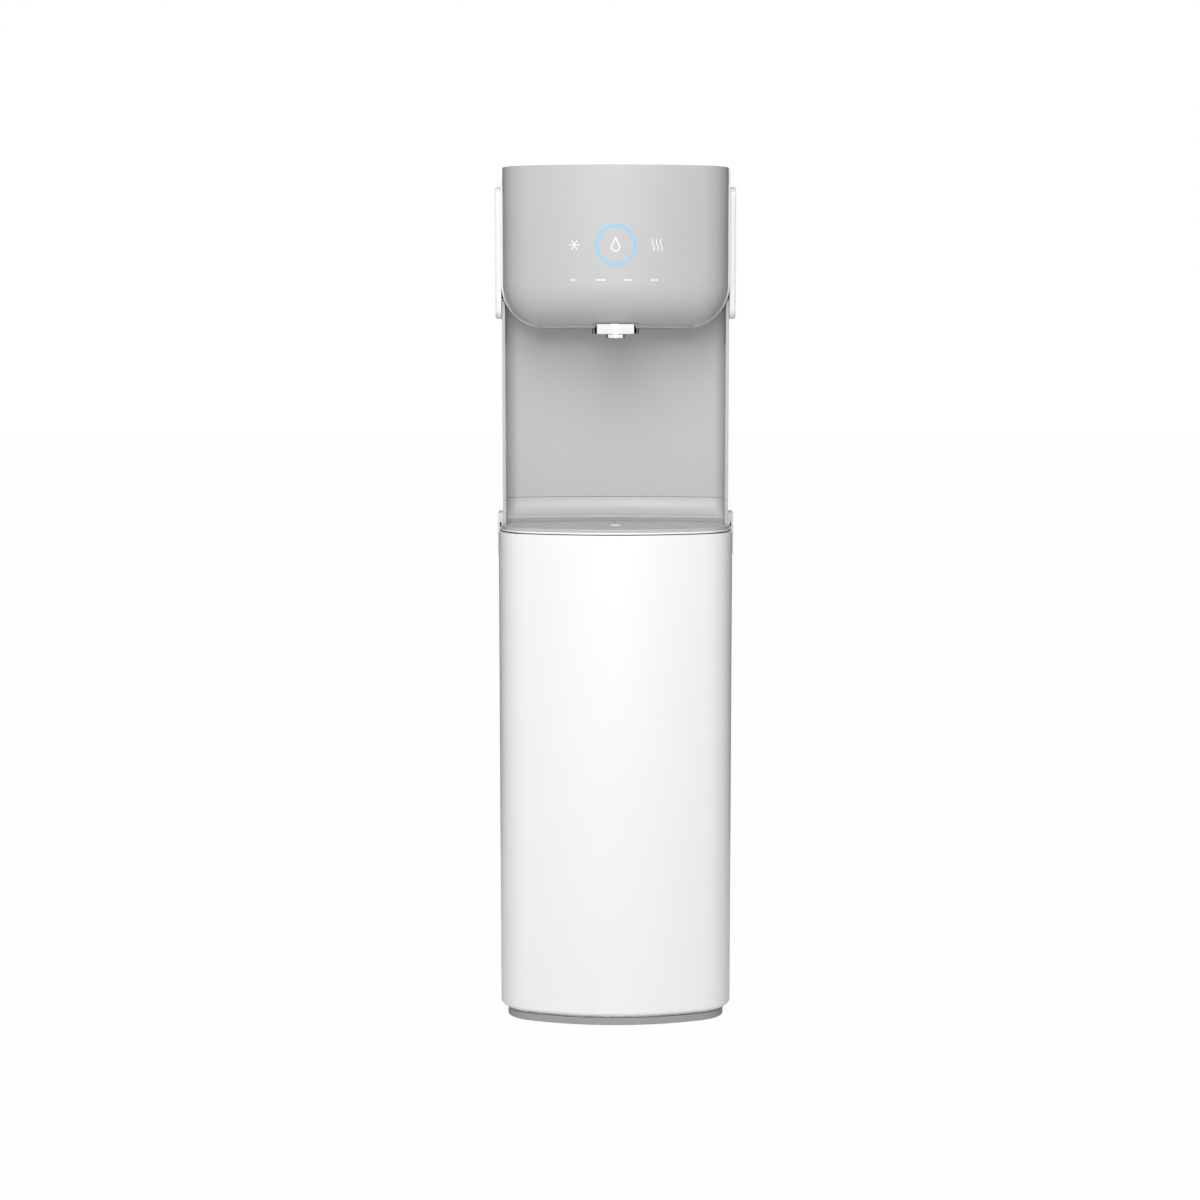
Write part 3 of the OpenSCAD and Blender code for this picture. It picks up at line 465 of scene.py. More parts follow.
def tube(name, points, r, mat, ease=0.012, sides=14, n=6, **kw):
    """A round bar swept along a path without twist."""
    path = rounded(points, ease, n)
    axis = (path[1] - path[0]).normalized()
    side = axis.orthogonal().normalized()
    verts, faces = [], []
    for k, p in enumerate(path):
        ahead = path[min(k + 1, len(path) - 1)] - path[max(k - 1, 0)]
        new_axis = ahead.normalized()
        side = (axis.rotation_difference(new_axis) @ side).normalized()
        axis = new_axis
        other = axis.cross(side)
        for i in range(sides):
            a = 2 * math.pi * i / sides
            verts.append(tuple(p + side * (r * math.cos(a)) + other * (r * math.sin(a))))
        if k:
            for i in range(sides):
                j = (i + 1) % sides
                base, last = k * sides, (k - 1) * sides
                faces.append((last + i, last + j, base + j, base + i))
    end = (len(path) - 1) * sides
    faces += [tuple(range(sides)), tuple(range(end, end + sides))]
    return make(name, verts, faces, mat, bevel=0.0, **kw)


def joined(name, solids, mat, **kw):
    """One piece out of several (points, faces) pairs."""
    verts, faces = [], []
    for v, f in solids:
        base = len(verts)
        verts += v
        faces += [tuple(i + base for i in ring) for ring in f]
    return make(name, verts, faces, mat, **kw)


def facing(pos, direction):
    """A placing whose local Z looks along direction."""
    return Matrix.Translation(pos) @ Vector(direction).to_track_quat("Z", "Y").to_matrix().to_4x4()


def cross_screw(pos, direction, r=3.2 * MM, h=1.5 * MM):
    """Points and faces of a pan-head screw with a cross recess."""
    place = facing(pos, direction)
    w, arm, deep = 0.16 * r, 0.55 * r, 0.6 * h    # half width, reach and depth of the recess
    corners = []
    for q in range(4):
        turn = Matrix.Rotation(q * math.pi / 2, 3, "Z")
        corners += [turn @ Vector(c) for c in ((arm, -w, 0), (arm, w, 0), (w, w, 0))]
    slot_pts = []
    for a, b in zip(corners, corners[1:] + corners[:1]):
        slot_pts += [a, (a + b) / 2]
    n = len(slot_pts)
    first = math.atan2(slot_pts[0].y, slot_pts[0].x)

    def ring(radius, z):
        return [Vector((radius * math.cos(first + 2 * math.pi * k / n),
                        radius * math.sin(first + 2 * math.pi * k / n), z)) for k in range(n)]

    rows = [ring(r, 0), ring(r, 0.35 * h), ring(0.93 * r, 0.72 * h), ring(0.72 * r, h)]
    rows.append([v + Vector((0, 0, h)) for v in slot_pts])
    rows.append([v * 0.9 + Vector((0, 0, h - deep)) for v in slot_pts])
    verts = [tuple(place @ v) for row in rows for v in row]
    faces = [tuple(range(n)), tuple(range((len(rows) - 1) * n, len(rows) * n))]
    for j in range(len(rows) - 1):
        for k in range(n):
            m = (k + 1) % n
            faces.append((j * n + k, j * n + m, (j + 1) * n + m, (j + 1) * n + k))
    return verts, faces


def wavy_ring(r_low, r_high, count, z0, z1, place):
    """Points and faces of a grip ring with count ribs."""
    outline = []
    for k in range(count * 4):
        r = r_high if k % 4 < 2 else r_low
        a = 2 * math.pi * k / (count * 4)
        outline.append((r * math.cos(a), r * math.sin(a)))
    return prism_data(outline, z0, z1, place)


# ------------------------------------------------------------------ big shells

DOOR_WALL = 2.5 * MM
DOOR_ROLL = 6 * MM      # radius of the door's rolled foot
DOOR_EDGE = 0.8 * MM    # radius of its upper edge
RIB_DEPTH = 9 * MM
RIB_HEIGHT = 1.6 * MM
RIB_LEVELS = (0.10, 0.235, 0.37, 0.505, 0.585)


def door():
    """White front that wraps both corners, rolled under at the foot and crisp at the top."""
    lo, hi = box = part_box("door_shell")
    bottom = lo[2] - 0.3 * MM
    zc = bottom + DOOR_ROLL
    outer, inner = [], []
    r = DOOR_ROLL - DOOR_WALL
    for k in range(10):
        a = math.radians(81 - 9 * k)
        outer.append(lift(inset_front(box, DOOR_ROLL * (1 - math.cos(a))), zc - DOOR_ROLL * math.sin(a)))
        inner.append(lift(inset_front(box, DOOR_ROLL - r * math.cos(a)), zc - r * math.sin(a)))
    for k in range(1, 6):
        z = zc + (hi[2] - DOOR_EDGE - zc) * k / 5
        outer.append(lift(inset_front(box, 0), z))
        inner.append(lift(inset_front(box, DOOR_WALL), z))
    for k in range(1, 5):
        a = math.radians(22.5 * k)
        z = hi[2] - DOOR_EDGE + DOOR_EDGE * math.sin(a)
        outer.append(lift(inset_front(box, DOOR_EDGE * (1 - math.cos(a)) * 0.8), z))
        inner.append(lift(inset_front(box, DOOR_WALL), z))
    skin("door_panel", outer, inner, white_gloss(), body="door", slot="white_plastic",
         replaces=("door_shell",), bevel=0.0003, angle=50)
    outside = inset_front(box, DOOR_WALL - 0.1 * MM)
    inside = inset_front(box, DOOR_WALL + RIB_DEPTH)
    for n, z in enumerate(RIB_LEVELS):
        skin(f"door_rib_{n}", [lift(outside, z), lift(outside, z + RIB_HEIGHT)],
             [lift(inside, z), lift(inside, z + RIB_HEIGHT)], white_gloss(), body="door",
             slot="white_plastic", bevel=0.0003, angle=50)


COVER_ROLL = 50 * MM    # radius of the roll along the head's lower edge
COVER_WALL = 2.5 * MM
COVER_START = 80        # degrees below level where the roll begins
COVER_TURN = 5          # degrees from one row of the roll to the next


def cover_row(box, t, z, back):
    """One row of the head's face at height z, moved inwards by t, with straight sides to the rear."""
    arc = inset_front(box, t)
    return lift([(arc[0][0], back)] + arc + [(arc[-1][0], back)], z)


def head_cover():
    """Grey face of the head: upright curved front that rolls under into the underside."""
    lo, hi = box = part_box("head_cover")
    back = hi[1]
    zc = lo[2] - COVER_ROLL * (1 - math.sin(math.radians(COVER_START))) + COVER_ROLL
    outer, inner = [], []
    r = COVER_ROLL - COVER_WALL
    for k in range(COVER_START // COVER_TURN + 1):
        a = math.radians(COVER_START - COVER_TURN * k)
        outer.append(cover_row(box, COVER_ROLL * (1 - math.cos(a)), zc - COVER_ROLL * math.sin(a), back))
        inner.append(cover_row(box, COVER_ROLL - r * math.cos(a), zc - r * math.sin(a), back))
    for k in range(1, 5):
        z = zc + (hi[2] - zc) * k / 4
        outer.append(cover_row(box, 0, z, back))
        inner.append(cover_row(box, COVER_WALL, z, back))
    skin("head_face", outer, inner, grey_satin(), slot="grey_plastic", replaces=("head_cover",),
         bevel=0.0005, angle=50, segments=3)


HOUSING_R = COVER_ROLL + 2.3 * MM    # radius of the white housing's lower corners
HOUSING_WALL = 2.5 * MM
HOUSING_STEPS = 20                   # steps round each of those corners


def u_row(hw, z0, r, z1, y):
    """Upright U with round lower corners, seen along the depth."""
    n = HOUSING_STEPS
    pts = [(-hw, y, z1)]
    for k in range(n + 1):
        a = math.pi * (1 + 0.5 * k / n)
        pts.append((-(hw - r) + r * math.cos(a), y, z0 + r + r * math.sin(a)))
    for k in range(n + 1):
        a = math.pi * (1.5 + 0.5 * k / n)
        pts.append((hw - r + r * math.cos(a), y, z0 + r + r * math.sin(a)))
    pts.append((hw, y, z1))
    return pts


def head_housing():
    """White shell behind the grey face; its front rim shows as a thin bright line."""
    lo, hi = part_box("head_housing")
    r, wall = HOUSING_R, HOUSING_WALL
    ys = [lo[1], lo[1] + 0.3 * MM, lo[1] + 10 * MM, hi[1]]
    ease = [0.45 * MM, 0.0, 0.0, 0.0]        # rounds the rim
    tuck = [1.9 * MM, 1.8 * MM, 0.0, 0.0]    # slopes the lower edge up towards the grey face
    outer = [u_row(hi[0] - e, lo[2] + e + t, r - e, hi[2], y) for y, e, t in zip(ys, ease, tuck)]
    inner = [u_row(hi[0] - wall, lo[2] + wall + 0.3 * MM, r - wall, hi[2], y) for y in ys]
    skin("head_frame", outer, inner, white_gloss(), slot="white_plastic", replaces=("head_housing",),
         bevel=0.0003, angle=50)


ALCOVE_R = 610 * MM     # radius of the alcove's concave wall
CHEEK_R = 16 * MM       # radius between that wall and the alcove's cheeks
CHEEK_T = 1.4 * MM      # thickness of the wall and the cheeks
LIP_W = 4 * MM          # how far the alcove's lips reach outwards from its cheeks
LIP_T = 2 * MM          # thickness of the lips
CHEEK_STEPS = 10        # steps round each corner of the alcove
WALL_STEPS = 48         # steps along its wall


def panel_top(x):
    """Height of the alcove wall's upper edge at x, just under the housing's round corner."""
    (_, _, z0), (half, _, _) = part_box("head_housing")
    gap = HOUSING_R + 0.5 * MM
    dx = max(0.0, abs(x) - (half - HOUSING_R))
    under = z0 + HOUSING_R - math.sqrt(max(0.0, gap * gap - dx * dx))
    return min(under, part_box("alcove_panel")[1][2])


def alcove_plan(y0, back, radius, corner):
    """Alcove outline: lip, cheek, round corner, rear arc and the same again; back moves it outwards."""
    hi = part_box("alcove_panel")[1]
    axis_y = hi[1] - CHEEK_T - ALCOVE_R
    lip = hi[0]
    cheek = lip - LIP_W
    cx = cheek - corner
    cy = axis_y + math.sqrt((radius - corner) ** 2 - cx * cx)
    turn = math.asin(cx / (radius - corner))
    right = []
    for k in range(CHEEK_STEPS + 1):
        a = (math.pi / 2 - turn) * (1 - k / CHEEK_STEPS)
        right.append((cx + (corner + back) * math.cos(a), cy + (corner + back) * math.sin(a)))
    arc = []
    for k in range(1, WALL_STEPS):
        a = math.pi / 2 + turn - 2 * turn * k / WALL_STEPS
        arc.append(((radius + back) * math.cos(a), axis_y + (radius + back) * math.sin(a)))
    left = [(-x, y) for x, y in reversed(right)]
    return [(-lip, y0), (-cheek - back, y0)] + left + arc + right + [(cheek + back, y0), (lip, y0)]


def alcove():
    """Rear wall of the alcove, which turns forward into a cheek and a lip at each side."""
    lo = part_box("alcove_panel")[0]
    front = alcove_plan(lo[1], 0, ALCOVE_R, CHEEK_R)
    rear = alcove_plan(lo[1] + LIP_T, CHEEK_T, ALCOVE_R, CHEEK_R)
    foot = lo[2] - 0.25 * MM    # laps over the top of the cove
    steps = [k / 20 for k in range(21)]

    def row(plan, f):
        """The outline at fraction f of the wall's height."""
        return [(x, y, foot + (panel_top(x) - foot) * f) for x, y in plan]

    skin("alcove_wall", [row(front, f) for f in steps], [row(rear, f) for f in steps], grey_satin(),
         slot="grey_plastic", replaces=("alcove_panel",), bevel=0.0005, angle=50)


def cove():
    """Foot of the alcove's wall, swept forward to an undercut nose above the tray."""
    lo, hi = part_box("cove")
    z0, z1 = lo[2], hi[2]
    nose_z = z1 - 22 * MM
    nose_r = ALCOVE_R - 21.8 * MM
    nose_corner = 1.5 * MM      # radius of the outline's corners at the nose
    run = 20 * MM               # how far the sweep comes forward
    profile = [(nose_r + 3 * MM, z0), (nose_r + 1.4 * MM, nose_z - 4.5 * MM), (nose_r, nose_z - 2 * MM),
               (nose_r + 0.2 * MM, nose_z - 1 * MM), (nose_r + 0.8 * MM, nose_z - 0.3 * MM),
               (nose_r + 1.8 * MM, nose_z)]
    for k in range(1, 17):
        a = math.radians(90 * k / 16)
        profile.append((ALCOVE_R - run + run * math.sin(a), z1 - (z1 - nose_z) * math.cos(a)))
    front, rear = [], []
    for radius, z in profile:
        corner = nose_corner + (CHEEK_R - nose_corner) * (radius - nose_r) / (ALCOVE_R - nose_r)
        front.append(lift(alcove_plan(lo[1], 0, radius, corner), z))
        rear.append(lift(alcove_plan(lo[1] + LIP_T, CHEEK_T, ALCOVE_R, CHEEK_R), z))
    skin("alcove_cove", front, rear, grey_satin(), slot="grey_plastic", replaces=("cove",),
         bevel=0.0004, angle=50)


# ------------------------------------------------------------------ nozzle and working parts


BAR_REACH = 4.9 * MM     # straightener bars: radius of the mouth that they span
BAR_PITCH = 1.8 * MM
BAR_HALF = 0.25 * MM     # half their width
BAR_HEIGHT = 2 * MM
BAR_LIFT = 2.5 * MM      # from the spout's mouth up to their lower side


def straightener(place):
    """Points and faces of the crossed bars in the spout's mouth."""
    flanks = [(i, (i + 1) % 4, 4 + (i + 1) % 4, 4 + i) for i in range(4)]
    bars = []
    for k in range(-2, 3):
        half = math.sqrt(BAR_REACH ** 2 - (k * BAR_PITCH) ** 2)
        corners = [(-half, -BAR_HALF), (half, -BAR_HALF), (half, BAR_HALF), (-half, BAR_HALF)]
        for angle in (0, math.pi / 2):
            at = place @ Matrix.Rotation(angle, 4, "Z") @ Matrix.Translation((0, k * BAR_PITCH, BAR_LIFT))
            verts = [tuple(at @ Vector((x, y, z))) for z in (0, BAR_HEIGHT) for x, y in corners]
            bars.append((verts, [(0, 1, 2, 3), (4, 5, 6, 7)] + flanks))
    return bars


def nozzle():
    """Chromed disc that runs up into the head, the spout in it, and the spout's flow straightener."""
    lo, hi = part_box("nozzle_flange")
    mid = centre("nozzle_flange")
    r = (hi[0] - lo[0]) / 2
    bore, top = 10.1 * MM, 12.4 * MM
    axis_y = lo[1] + r
    place = Matrix.Translation((mid[0], axis_y, lo[2]))
    lathe("nozzle_disc", [(bore, 0), (r, 0), (r, top), (bore, top)], chrome(), steps=96, place=place,
          slot="chrome", replaces=("nozzle_flange",), bevel=0.0006, segments=3)
    lo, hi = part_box("nozzle_spout")
    r = (hi[0] - lo[0]) / 2
    bore, neck, collar, height = 5 * MM, 9.9 * MM, 4.9 * MM, hi[2] - lo[2]
    place = Matrix.Translation((mid[0], mid[1], lo[2]))
    profile = [(bore, 0.8 * MM), (bore + 0.8 * MM, 0), (r, 0), (r, collar), (neck, collar),
               (neck, height), (bore, height)]
    lathe("nozzle_tip", profile, chrome(), steps=64, place=place, slot="chrome", replaces=("nozzle_spout",),
          bevel=0.0005, segments=3)
    joined("nozzle_straightener", straightener(place), black_plastic(), slot="black_plastic", bevel=0.0)


def condenser():
    """Serpentine tube on the rear, whose ends turn in through rubber grommets."""
    lo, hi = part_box("condenser_tube")
    r = 2.5 * MM
    y = (lo[1] + hi[1]) / 2
    left, right = lo[0] + r, hi[0] - r
    z0, z1 = lo[2] + r, hi[2] - r
    rows = 16
    panel_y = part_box("rear_panel")[1][1]
    entry = left - 12 * MM      # where both ends pass through the panel
    path = [(entry, panel_y + 0.5 * MM, z0), (entry, y, z0), (right, y, z0)]
    for k in range(1, rows - 1):
        z = z0 + (z1 - z0) * k / (rows - 1)
        ends = [(left, y, z), (right, y, z)]
        path += ends if k % 2 == 0 else ends[::-1]
    path += [(right, y, z1), (entry, y, z1), (entry, panel_y + 0.5 * MM, z1)]
    tube("condenser_coil", path, r, black_enamel(), ease=13.5 * MM, sides=12, n=8, slot="black_enamel",
         replaces=("condenser_tube",))
    grommet = [(r, 0), (6 * MM, 0), (7 * MM, 1 * MM), (6 * MM, 3 * MM), (3.4 * MM, 3.6 * MM), (r, 3.6 * MM)]
    rings = [lathe_data(grommet, 28, facing((entry, panel_y, z), (0, 1, 0))) for z in (z0, z1)]
    joined("condenser_grommets", rings, rubber(), slot="rubber", bevel=0.0003)


def screw_columns(box, edge, levels):
    """Two columns of screws on a rear panel, edge in from its sides, at these parts of its height."""
    lo, hi = box
    return [cross_screw((x, hi[1], lo[2] + (hi[2] - lo[2]) * level), (0, 1, 0))
            for x in (lo[0] + edge, hi[0] - edge) for level in levels]


def screws():
    """Pan-head screws of the rear panels."""
    heads = screw_columns(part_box("rear_panel"), 7 * MM, (0.03, 0.35, 0.66, 0.975))
    heads += screw_columns(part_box("upper_rear"), 9 * MM, (0.03, 0.5, 0.97))
    joined("panel_screws", heads, stainless(), slot="stainless", bevel=0.0)


NECK_H = 16 * MM        # filter cartridge: height and radius of its neck
NECK_R = 14 * MM
FOOT_R = 8 * MM         # radius of its foot's edge


def filter_cartridge(node, body, ring_look):
    """Smooth housing with a ribbed grip, a neck, and a ring in a groove whose colour tells its stage."""
    lo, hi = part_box(node)
    mid = centre(node)
    place = Matrix.Translation((mid[0], mid[1], lo[2]))
    r = (hi[0] - lo[0]) / 2
    h = hi[2] - lo[2] - NECK_H
    profile = [(0, 0)]
    for k in range(9):
        a = math.radians(90 * k / 8)
        profile.append((r - FOOT_R + FOOT_R * math.sin(a), FOOT_R - FOOT_R * math.cos(a)))
    profile += [(r, h - 40 * MM), (r - 1.5 * MM, h - 38 * MM), (r - 1.5 * MM, h - 33 * MM),
                (r - 0.4 * MM, h - 32 * MM), (r - 0.4 * MM, h - 10 * MM), (r - 6 * MM, h - 2 * MM),
                (NECK_R, h - 1 * MM), (NECK_R, h + NECK_H), (0, h + NECK_H)]
    lathe(f"{node}_housing", profile, filter_plastic(), steps=72, place=place, body=body,
          slot="filter_plastic", replaces=(node,), bevel=0.0005)
    grip = [wavy_ring(r - 0.9 * MM, r, 36, h - 30 * MM, h - 13 * MM, place)]
    joined(f"{node}_grip", grip, filter_plastic(), body=body, slot="filter_plastic", bevel=0.0002)
    band = lathe_data([(r - 0.3 * MM, h - 37.5 * MM), (r - 0.8 * MM, h - 37.5 * MM),
                       (r - 0.8 * MM, h - 33.5 * MM), (r - 0.3 * MM, h - 33.5 * MM)], 72, place)
    joined(f"{node}_stage_ring", [band], ring_look(), body=body, slot="valve_blue", bevel=0.0)


ELBOW_RISE = 15 * MM    # from an elbow's foot to the axis of its port
ELBOW_REACH = 13 * MM   # from its stem's axis to where its tube ends
PORT_X = 39 * MM        # how far each elbow stands from the middle
WATER_R = 3.2 * MM      # radius of the water tubes
WATER_EASE = 0.022      # how softly they bend


def elbow(x, y, z, side):
    """Points and faces of a push-fit elbow on the manifold: its stem, and its arm with the collet."""
    up = lathe_data([(0, 0), (5.5 * MM, 0), (5.5 * MM, 10 * MM), (6.4 * MM, 12 * MM), (6.4 * MM, 18 * MM),
                     (4.5 * MM, 20.5 * MM), (0, 20.5 * MM)], 28, Matrix.Translation((x, y, z)))
    out = lathe_data([(0, 0), (6 * MM, 0), (6 * MM, 13 * MM), (6.8 * MM, 14 * MM), (6.8 * MM, 17 * MM),
                      (3.3 * MM, 17 * MM), (3.3 * MM, 15 * MM), (0, 15 * MM)], 28,
                     facing((x, y, z + ELBOW_RISE), (side, 0, 0)))
    return [up, out]


def plumbing():
    """Elbows and tubes between the inlet valve, the booster pump and the filter manifold."""
    lo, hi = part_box("filter_manifold")
    mid_y = centre("filter_1")[1]
    z = lo[2] + 24 * MM
    solids = elbow(-PORT_X, mid_y, z, -1) + elbow(PORT_X, mid_y, z, 1)
    joined("manifold_elbows", solids, white_gloss(), slot="white_plastic", bevel=0.0003)
    port_z = z + ELBOW_RISE
    tube_end = PORT_X + ELBOW_REACH
    rail_x = hi[0] - 17 * MM    # the tubes run forward and up beside the manifold here
    back_y = -55 * MM
    valve = centre("inlet_valve")
    valve_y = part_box("inlet_valve")[0][1] + 1 * MM
    valve_z = valve[2] - 13 * MM
    tube("tube_inlet", [
        (valve[0], valve_y, valve_z), (valve[0], 96 * MM, valve_z), (rail_x, 88 * MM, valve_z),
        (rail_x, back_y, valve_z), (rail_x, back_y, port_z), (rail_x - 40 * MM, mid_y, port_z),
        (tube_end, mid_y, port_z)], WATER_R, clear_tube(), ease=WATER_EASE, slot="clear_tube")
    pump_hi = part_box("booster_pump")[1]
    pump_x = centre("booster_pump")[0] - 10 * MM
    pump_y = pump_hi[1] - 15 * MM
    tube("tube_pump", [
        (pump_x, pump_y, pump_hi[2] - 3 * MM), (pump_x, pump_y, pump_hi[2] + 30 * MM),
        (-rail_x, 40 * MM, 0.16), (-rail_x, back_y, 0.2), (-rail_x, back_y, port_z),
        (-rail_x + 40 * MM, mid_y, port_z), (-tube_end, mid_y, port_z)], WATER_R, clear_tube(),
        ease=WATER_EASE, slot="clear_tube")


def refrigeration():
    """Welded seam, terminal cover and copper lines of the compressor."""
    x, y = 30 * MM, centre("compressor")[1]
    r = 62 * MM                 # radius of the compressor's shell
    seam_z = 0.105
    seam = [(r - 0.5 * MM, 0), (r + 1.6 * MM, 0.6 * MM), (r + 1.6 * MM, 3 * MM), (r - 0.5 * MM, 3.6 * MM)]
    joined("compressor_seam", [lathe_data(seam, 72, Matrix.Translation((x, y, seam_z)))], black_enamel(),
           slot="black_enamel", bevel=0.0)
    half_w, half_h = 0.016, 0.011
    outline = [(-half_w, -half_h), (half_w, -half_h), (half_w, half_h), (-half_w, half_h)]
    place = facing((x - 30 * MM, y - r + 6 * MM, 0.075), (-0.4, -1, 0))
    joined("compressor_terminal_cover", [prism_data(outline, 0, 18 * MM, place)], black_plastic(),
           slot="black_plastic", bevel=0.0025, segments=4)
    drier_lo, drier_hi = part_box("filter_drier")
    dx, dy = (drier_lo[0] + drier_hi[0]) / 2, (drier_lo[1] + drier_hi[1]) / 2
    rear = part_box("rear_panel")[0][1] - 2 * MM      # where the lines meet the condenser's ends
    coil_x = -124 * MM
    riser = (x - 20 * MM, y + 30 * MM)
    tube("copper_suction", [(*riser, 0.148), (*riser, 0.2), (-60 * MM, 140 * MM, 0.24),
                            (-100 * MM, 145 * MM, 0.5), (coil_x, rear, 0.548)],
         2.6 * MM, copper(), ease=0.02, slot="copper")
    tube("copper_liquid", [(coil_x, rear, 0.128), (-122 * MM, 120 * MM, 0.125), (dx, dy, 0.128),
                           (dx, dy, drier_lo[2] + 2 * MM)], 2.2 * MM, copper(), ease=0.014, slot="copper")
    tube("copper_capillary", [(dx, dy, drier_hi[2] - 2 * MM), (dx, dy, 0.54), (-30 * MM, 100 * MM, 0.6),
                              (-30 * MM, 100 * MM, 0.65)], 1.2 * MM, copper(), ease=0.03, slot="copper")


def cad_looks():
    """Gives every carried-over CAD node its finish and softened edges."""
    for node, look in NODE_LOOKS.items():
        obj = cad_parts[node]
        obj.data.materials.clear()
        obj.data.materials.append(look())
        for poly in obj.data.polygons:
            poly.material_index = 0
        if "custom_normal" in obj.data.attributes:
            obj.data.attributes.remove(obj.data.attributes["custom_normal"])
        soften(obj, NODE_BEVELS.get(node, USUAL_BEVEL) * MM)


# ------------------------------------------------------------------ stage

FLOOR_SEEN = 0.98       # how far the floor is whitened for the camera
WORLD_LIGHT = 0.12      # what the world adds to diffuse surfaces
WORLD_SEEN = 1.0        # its brightness for the camera and in mirrored rays
STRIP_H = 0.035         # height of the strips that the nozzle mirrors, and of their middle
STRIP_Z = 0.8675


def stage_material(name, color, seen=None):
    """A plain staged sheet; seen, from 0 to 1, whitens it for the camera without lighting the object."""
    mat = bpy.data.materials.new(name)
    mat.use_nodes = True
    tree = mat.node_tree
    shader = tree.nodes["Principled BSDF"]
    shader.inputs["Base Color"].default_value = (*color, 1)
    shader.inputs["Roughness"].default_value = 0.7
    shader.inputs["Specular IOR Level"].default_value = 0.1
    if seen is None:
        return mat
    glow = tree.nodes.new("ShaderNodeEmission")
    path = tree.nodes.new("ShaderNodeLightPath")
    share = tree.nodes.new("ShaderNodeMath")
    share.operation = "MULTIPLY"
    share.inputs[1].default_value = seen
    link(tree, path.outputs["Is Camera Ray"], share.inputs[0])
    mix = tree.nodes.new("ShaderNodeMixShader")
    link(tree, share.outputs[0], mix.inputs["Fac"])
    link(tree, shader.outputs[0], mix.inputs[1])
    link(tree, glow.outputs[0], mix.inputs[2])
    link(tree, mix.outputs[0], tree.nodes["Material Output"].inputs["Surface"])
    return mat


def quad(name, size_x, size_y, place, mat):
    """A staged sheet that is not part of the object."""
    mesh = bpy.data.meshes.new(name)
    x, y = size_x / 2, size_y / 2
    corners = [(-x, -y, 0), (x, -y, 0), (x, y, 0), (-x, y, 0)]
    mesh.from_pydata([tuple(place @ Vector(c)) for c in corners], [], [(0, 1, 2, 3)])
    obj = bpy.data.objects.new(name, mesh)
    bpy.context.scene.collection.objects.link(obj)
    mesh.materials.append(mat)
    return obj


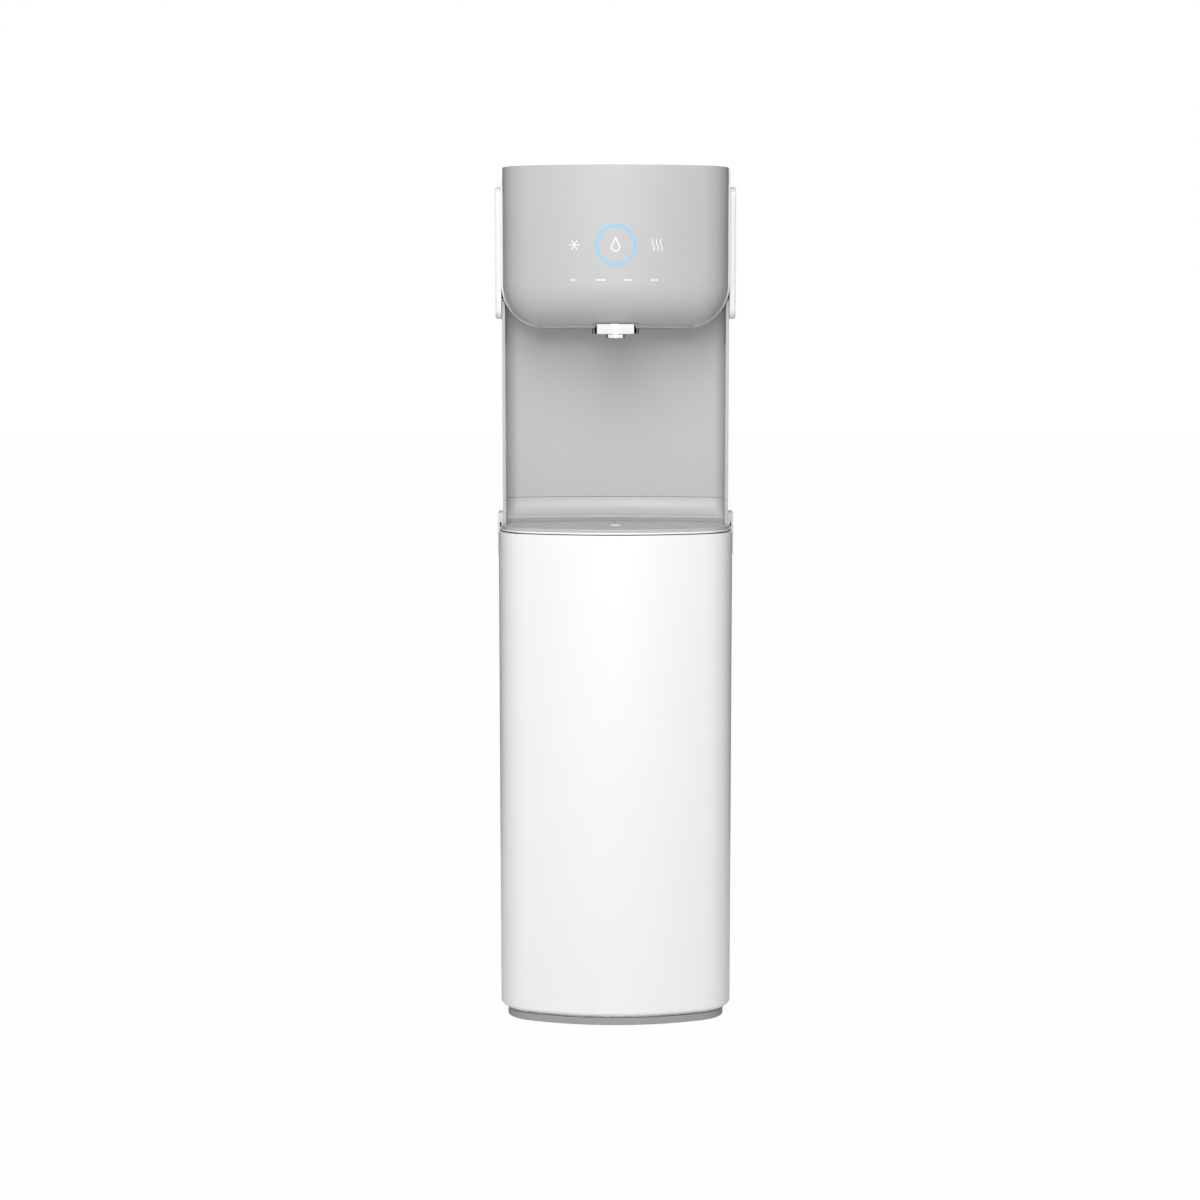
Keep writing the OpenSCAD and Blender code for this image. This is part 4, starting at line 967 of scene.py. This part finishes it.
def studio():
    """Floor, dark cards and world."""
    floor = stage_material("floor_white", (0.86, 0.86, 0.86), FLOOR_SEEN)
    quad("floor", 30, 30, Matrix.Identity(4), floor)
    # Only mirrored rays meet the cards. The one behind the object darkens the edges of chrome and gloss,
    # and the three strips round the top of the alcove darken the ends of the chromed nozzle.
    upright = Matrix.Rotation(math.pi / 2, 4, "X")
    sideways = Matrix.Rotation(math.pi / 2, 4, "Z") @ upright
    black = stage_material("card_black", (0.015, 0.015, 0.015))
    for name, width, height, at, turned in (
            ("dark_card", 7, 5, (0, 0.75, 1.2), upright),
            ("dark_strip_rear", 0.264, STRIP_H, (0, -0.056, STRIP_Z), upright),
            ("dark_strip_left", 0.068, STRIP_H, (-0.134, -0.0895, STRIP_Z), sideways),
            ("dark_strip_right", 0.068, STRIP_H, (0.134, -0.0895, STRIP_Z), sideways)):
        card = quad(name, width, height, Matrix.Translation(at) @ turned, black)
        card.visible_camera = False
        card.visible_diffuse = False
        card.visible_shadow = False
        card.visible_transmission = False
    world = bpy.data.worlds.new("studio")
    bpy.context.scene.world = world
    world.use_nodes = True
    tree = world.node_tree
    soft = tree.nodes["Background"]
    soft.inputs["Color"].default_value = (1, 1, 1, 1)
    soft.inputs["Strength"].default_value = WORLD_LIGHT
    seen = tree.nodes.new("ShaderNodeBackground")
    seen.inputs["Color"].default_value = (1, 1, 1, 1)
    seen.inputs["Strength"].default_value = WORLD_SEEN
    path = tree.nodes.new("ShaderNodeLightPath")
    either = tree.nodes.new("ShaderNodeMath")
    either.operation = "MAXIMUM"
    link(tree, path.outputs["Is Camera Ray"], either.inputs[0])
    link(tree, path.outputs["Is Glossy Ray"], either.inputs[1])
    mix = tree.nodes.new("ShaderNodeMixShader")
    link(tree, either.outputs[0], mix.inputs["Fac"])
    link(tree, soft.outputs[0], mix.inputs[1])
    link(tree, seen.outputs[0], mix.inputs[2])
    link(tree, mix.outputs[0], tree.nodes["World Output"].inputs["Surface"])


def area(name, place, target, size, size_y, power):
    """A rectangular light at place, turned to target."""
    data = bpy.data.lights.new(name, "AREA")
    data.shape = "RECTANGLE"
    data.size = size
    data.size_y = size_y
    data.energy = power
    obj = bpy.data.objects.new(name, data)
    bpy.context.scene.collection.objects.link(obj)
    obj.location = place
    obj.rotation_euler = (Vector(target) - Vector(place)).to_track_quat("-Z", "Y").to_euler()


def lights():
    """Key light from the front and above, and low fills from the front and the rear."""
    area("key", (-0.2, -2.95, 2.65), (0, 0, 0.7), 1.8, 3.1, 114)
    area("low_fill", (0.0, -3.6, 0.6), (0, 0, 0.3), 1.6, 0.9, 10)
    area("rear_fill", (0.0, 3.4, 2.2), (0, 0, 0.6), 2.6, 1.8, 40)


CAMERA_LENS = 70.5      # mm, on the usual 36 mm sensor
CAMERA_SHIFT = -0.0129  # puts the object a little right of the middle, as in the photo
CAMERA_BACK = 2.859     # from the door's front to the camera
CAMERA_HEIGHT = 0.885
CAMERA_DOWN = 6.9       # degrees that it looks down


def camera():
    """The photo's view of the object."""
    data = bpy.data.cameras.new("camera")
    data.lens = CAMERA_LENS
    data.shift_x = CAMERA_SHIFT
    data.clip_end = 60
    obj = bpy.data.objects.new("camera", data)
    bpy.context.scene.collection.objects.link(obj)
    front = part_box("door_shell")[0][1]
    obj.location = (0, front - CAMERA_BACK, CAMERA_HEIGHT)
    obj.rotation_euler = (math.radians(90 - CAMERA_DOWN), 0, 0)
    bpy.context.scene.camera = obj


camera()
studio()
lights()
cad_looks()
door()
head_cover()
head_housing()
alcove()
cove()
nozzle()
condenser()
screws()
filter_cartridge("filter_1", "filter_left", white_gloss)
filter_cartridge("filter_2", "filter_middle", valve_blue)
filter_cartridge("filter_3", "filter_right", foam)
plumbing()
refrigeration()

bpy.context.scene.view_settings.view_transform = "Standard"
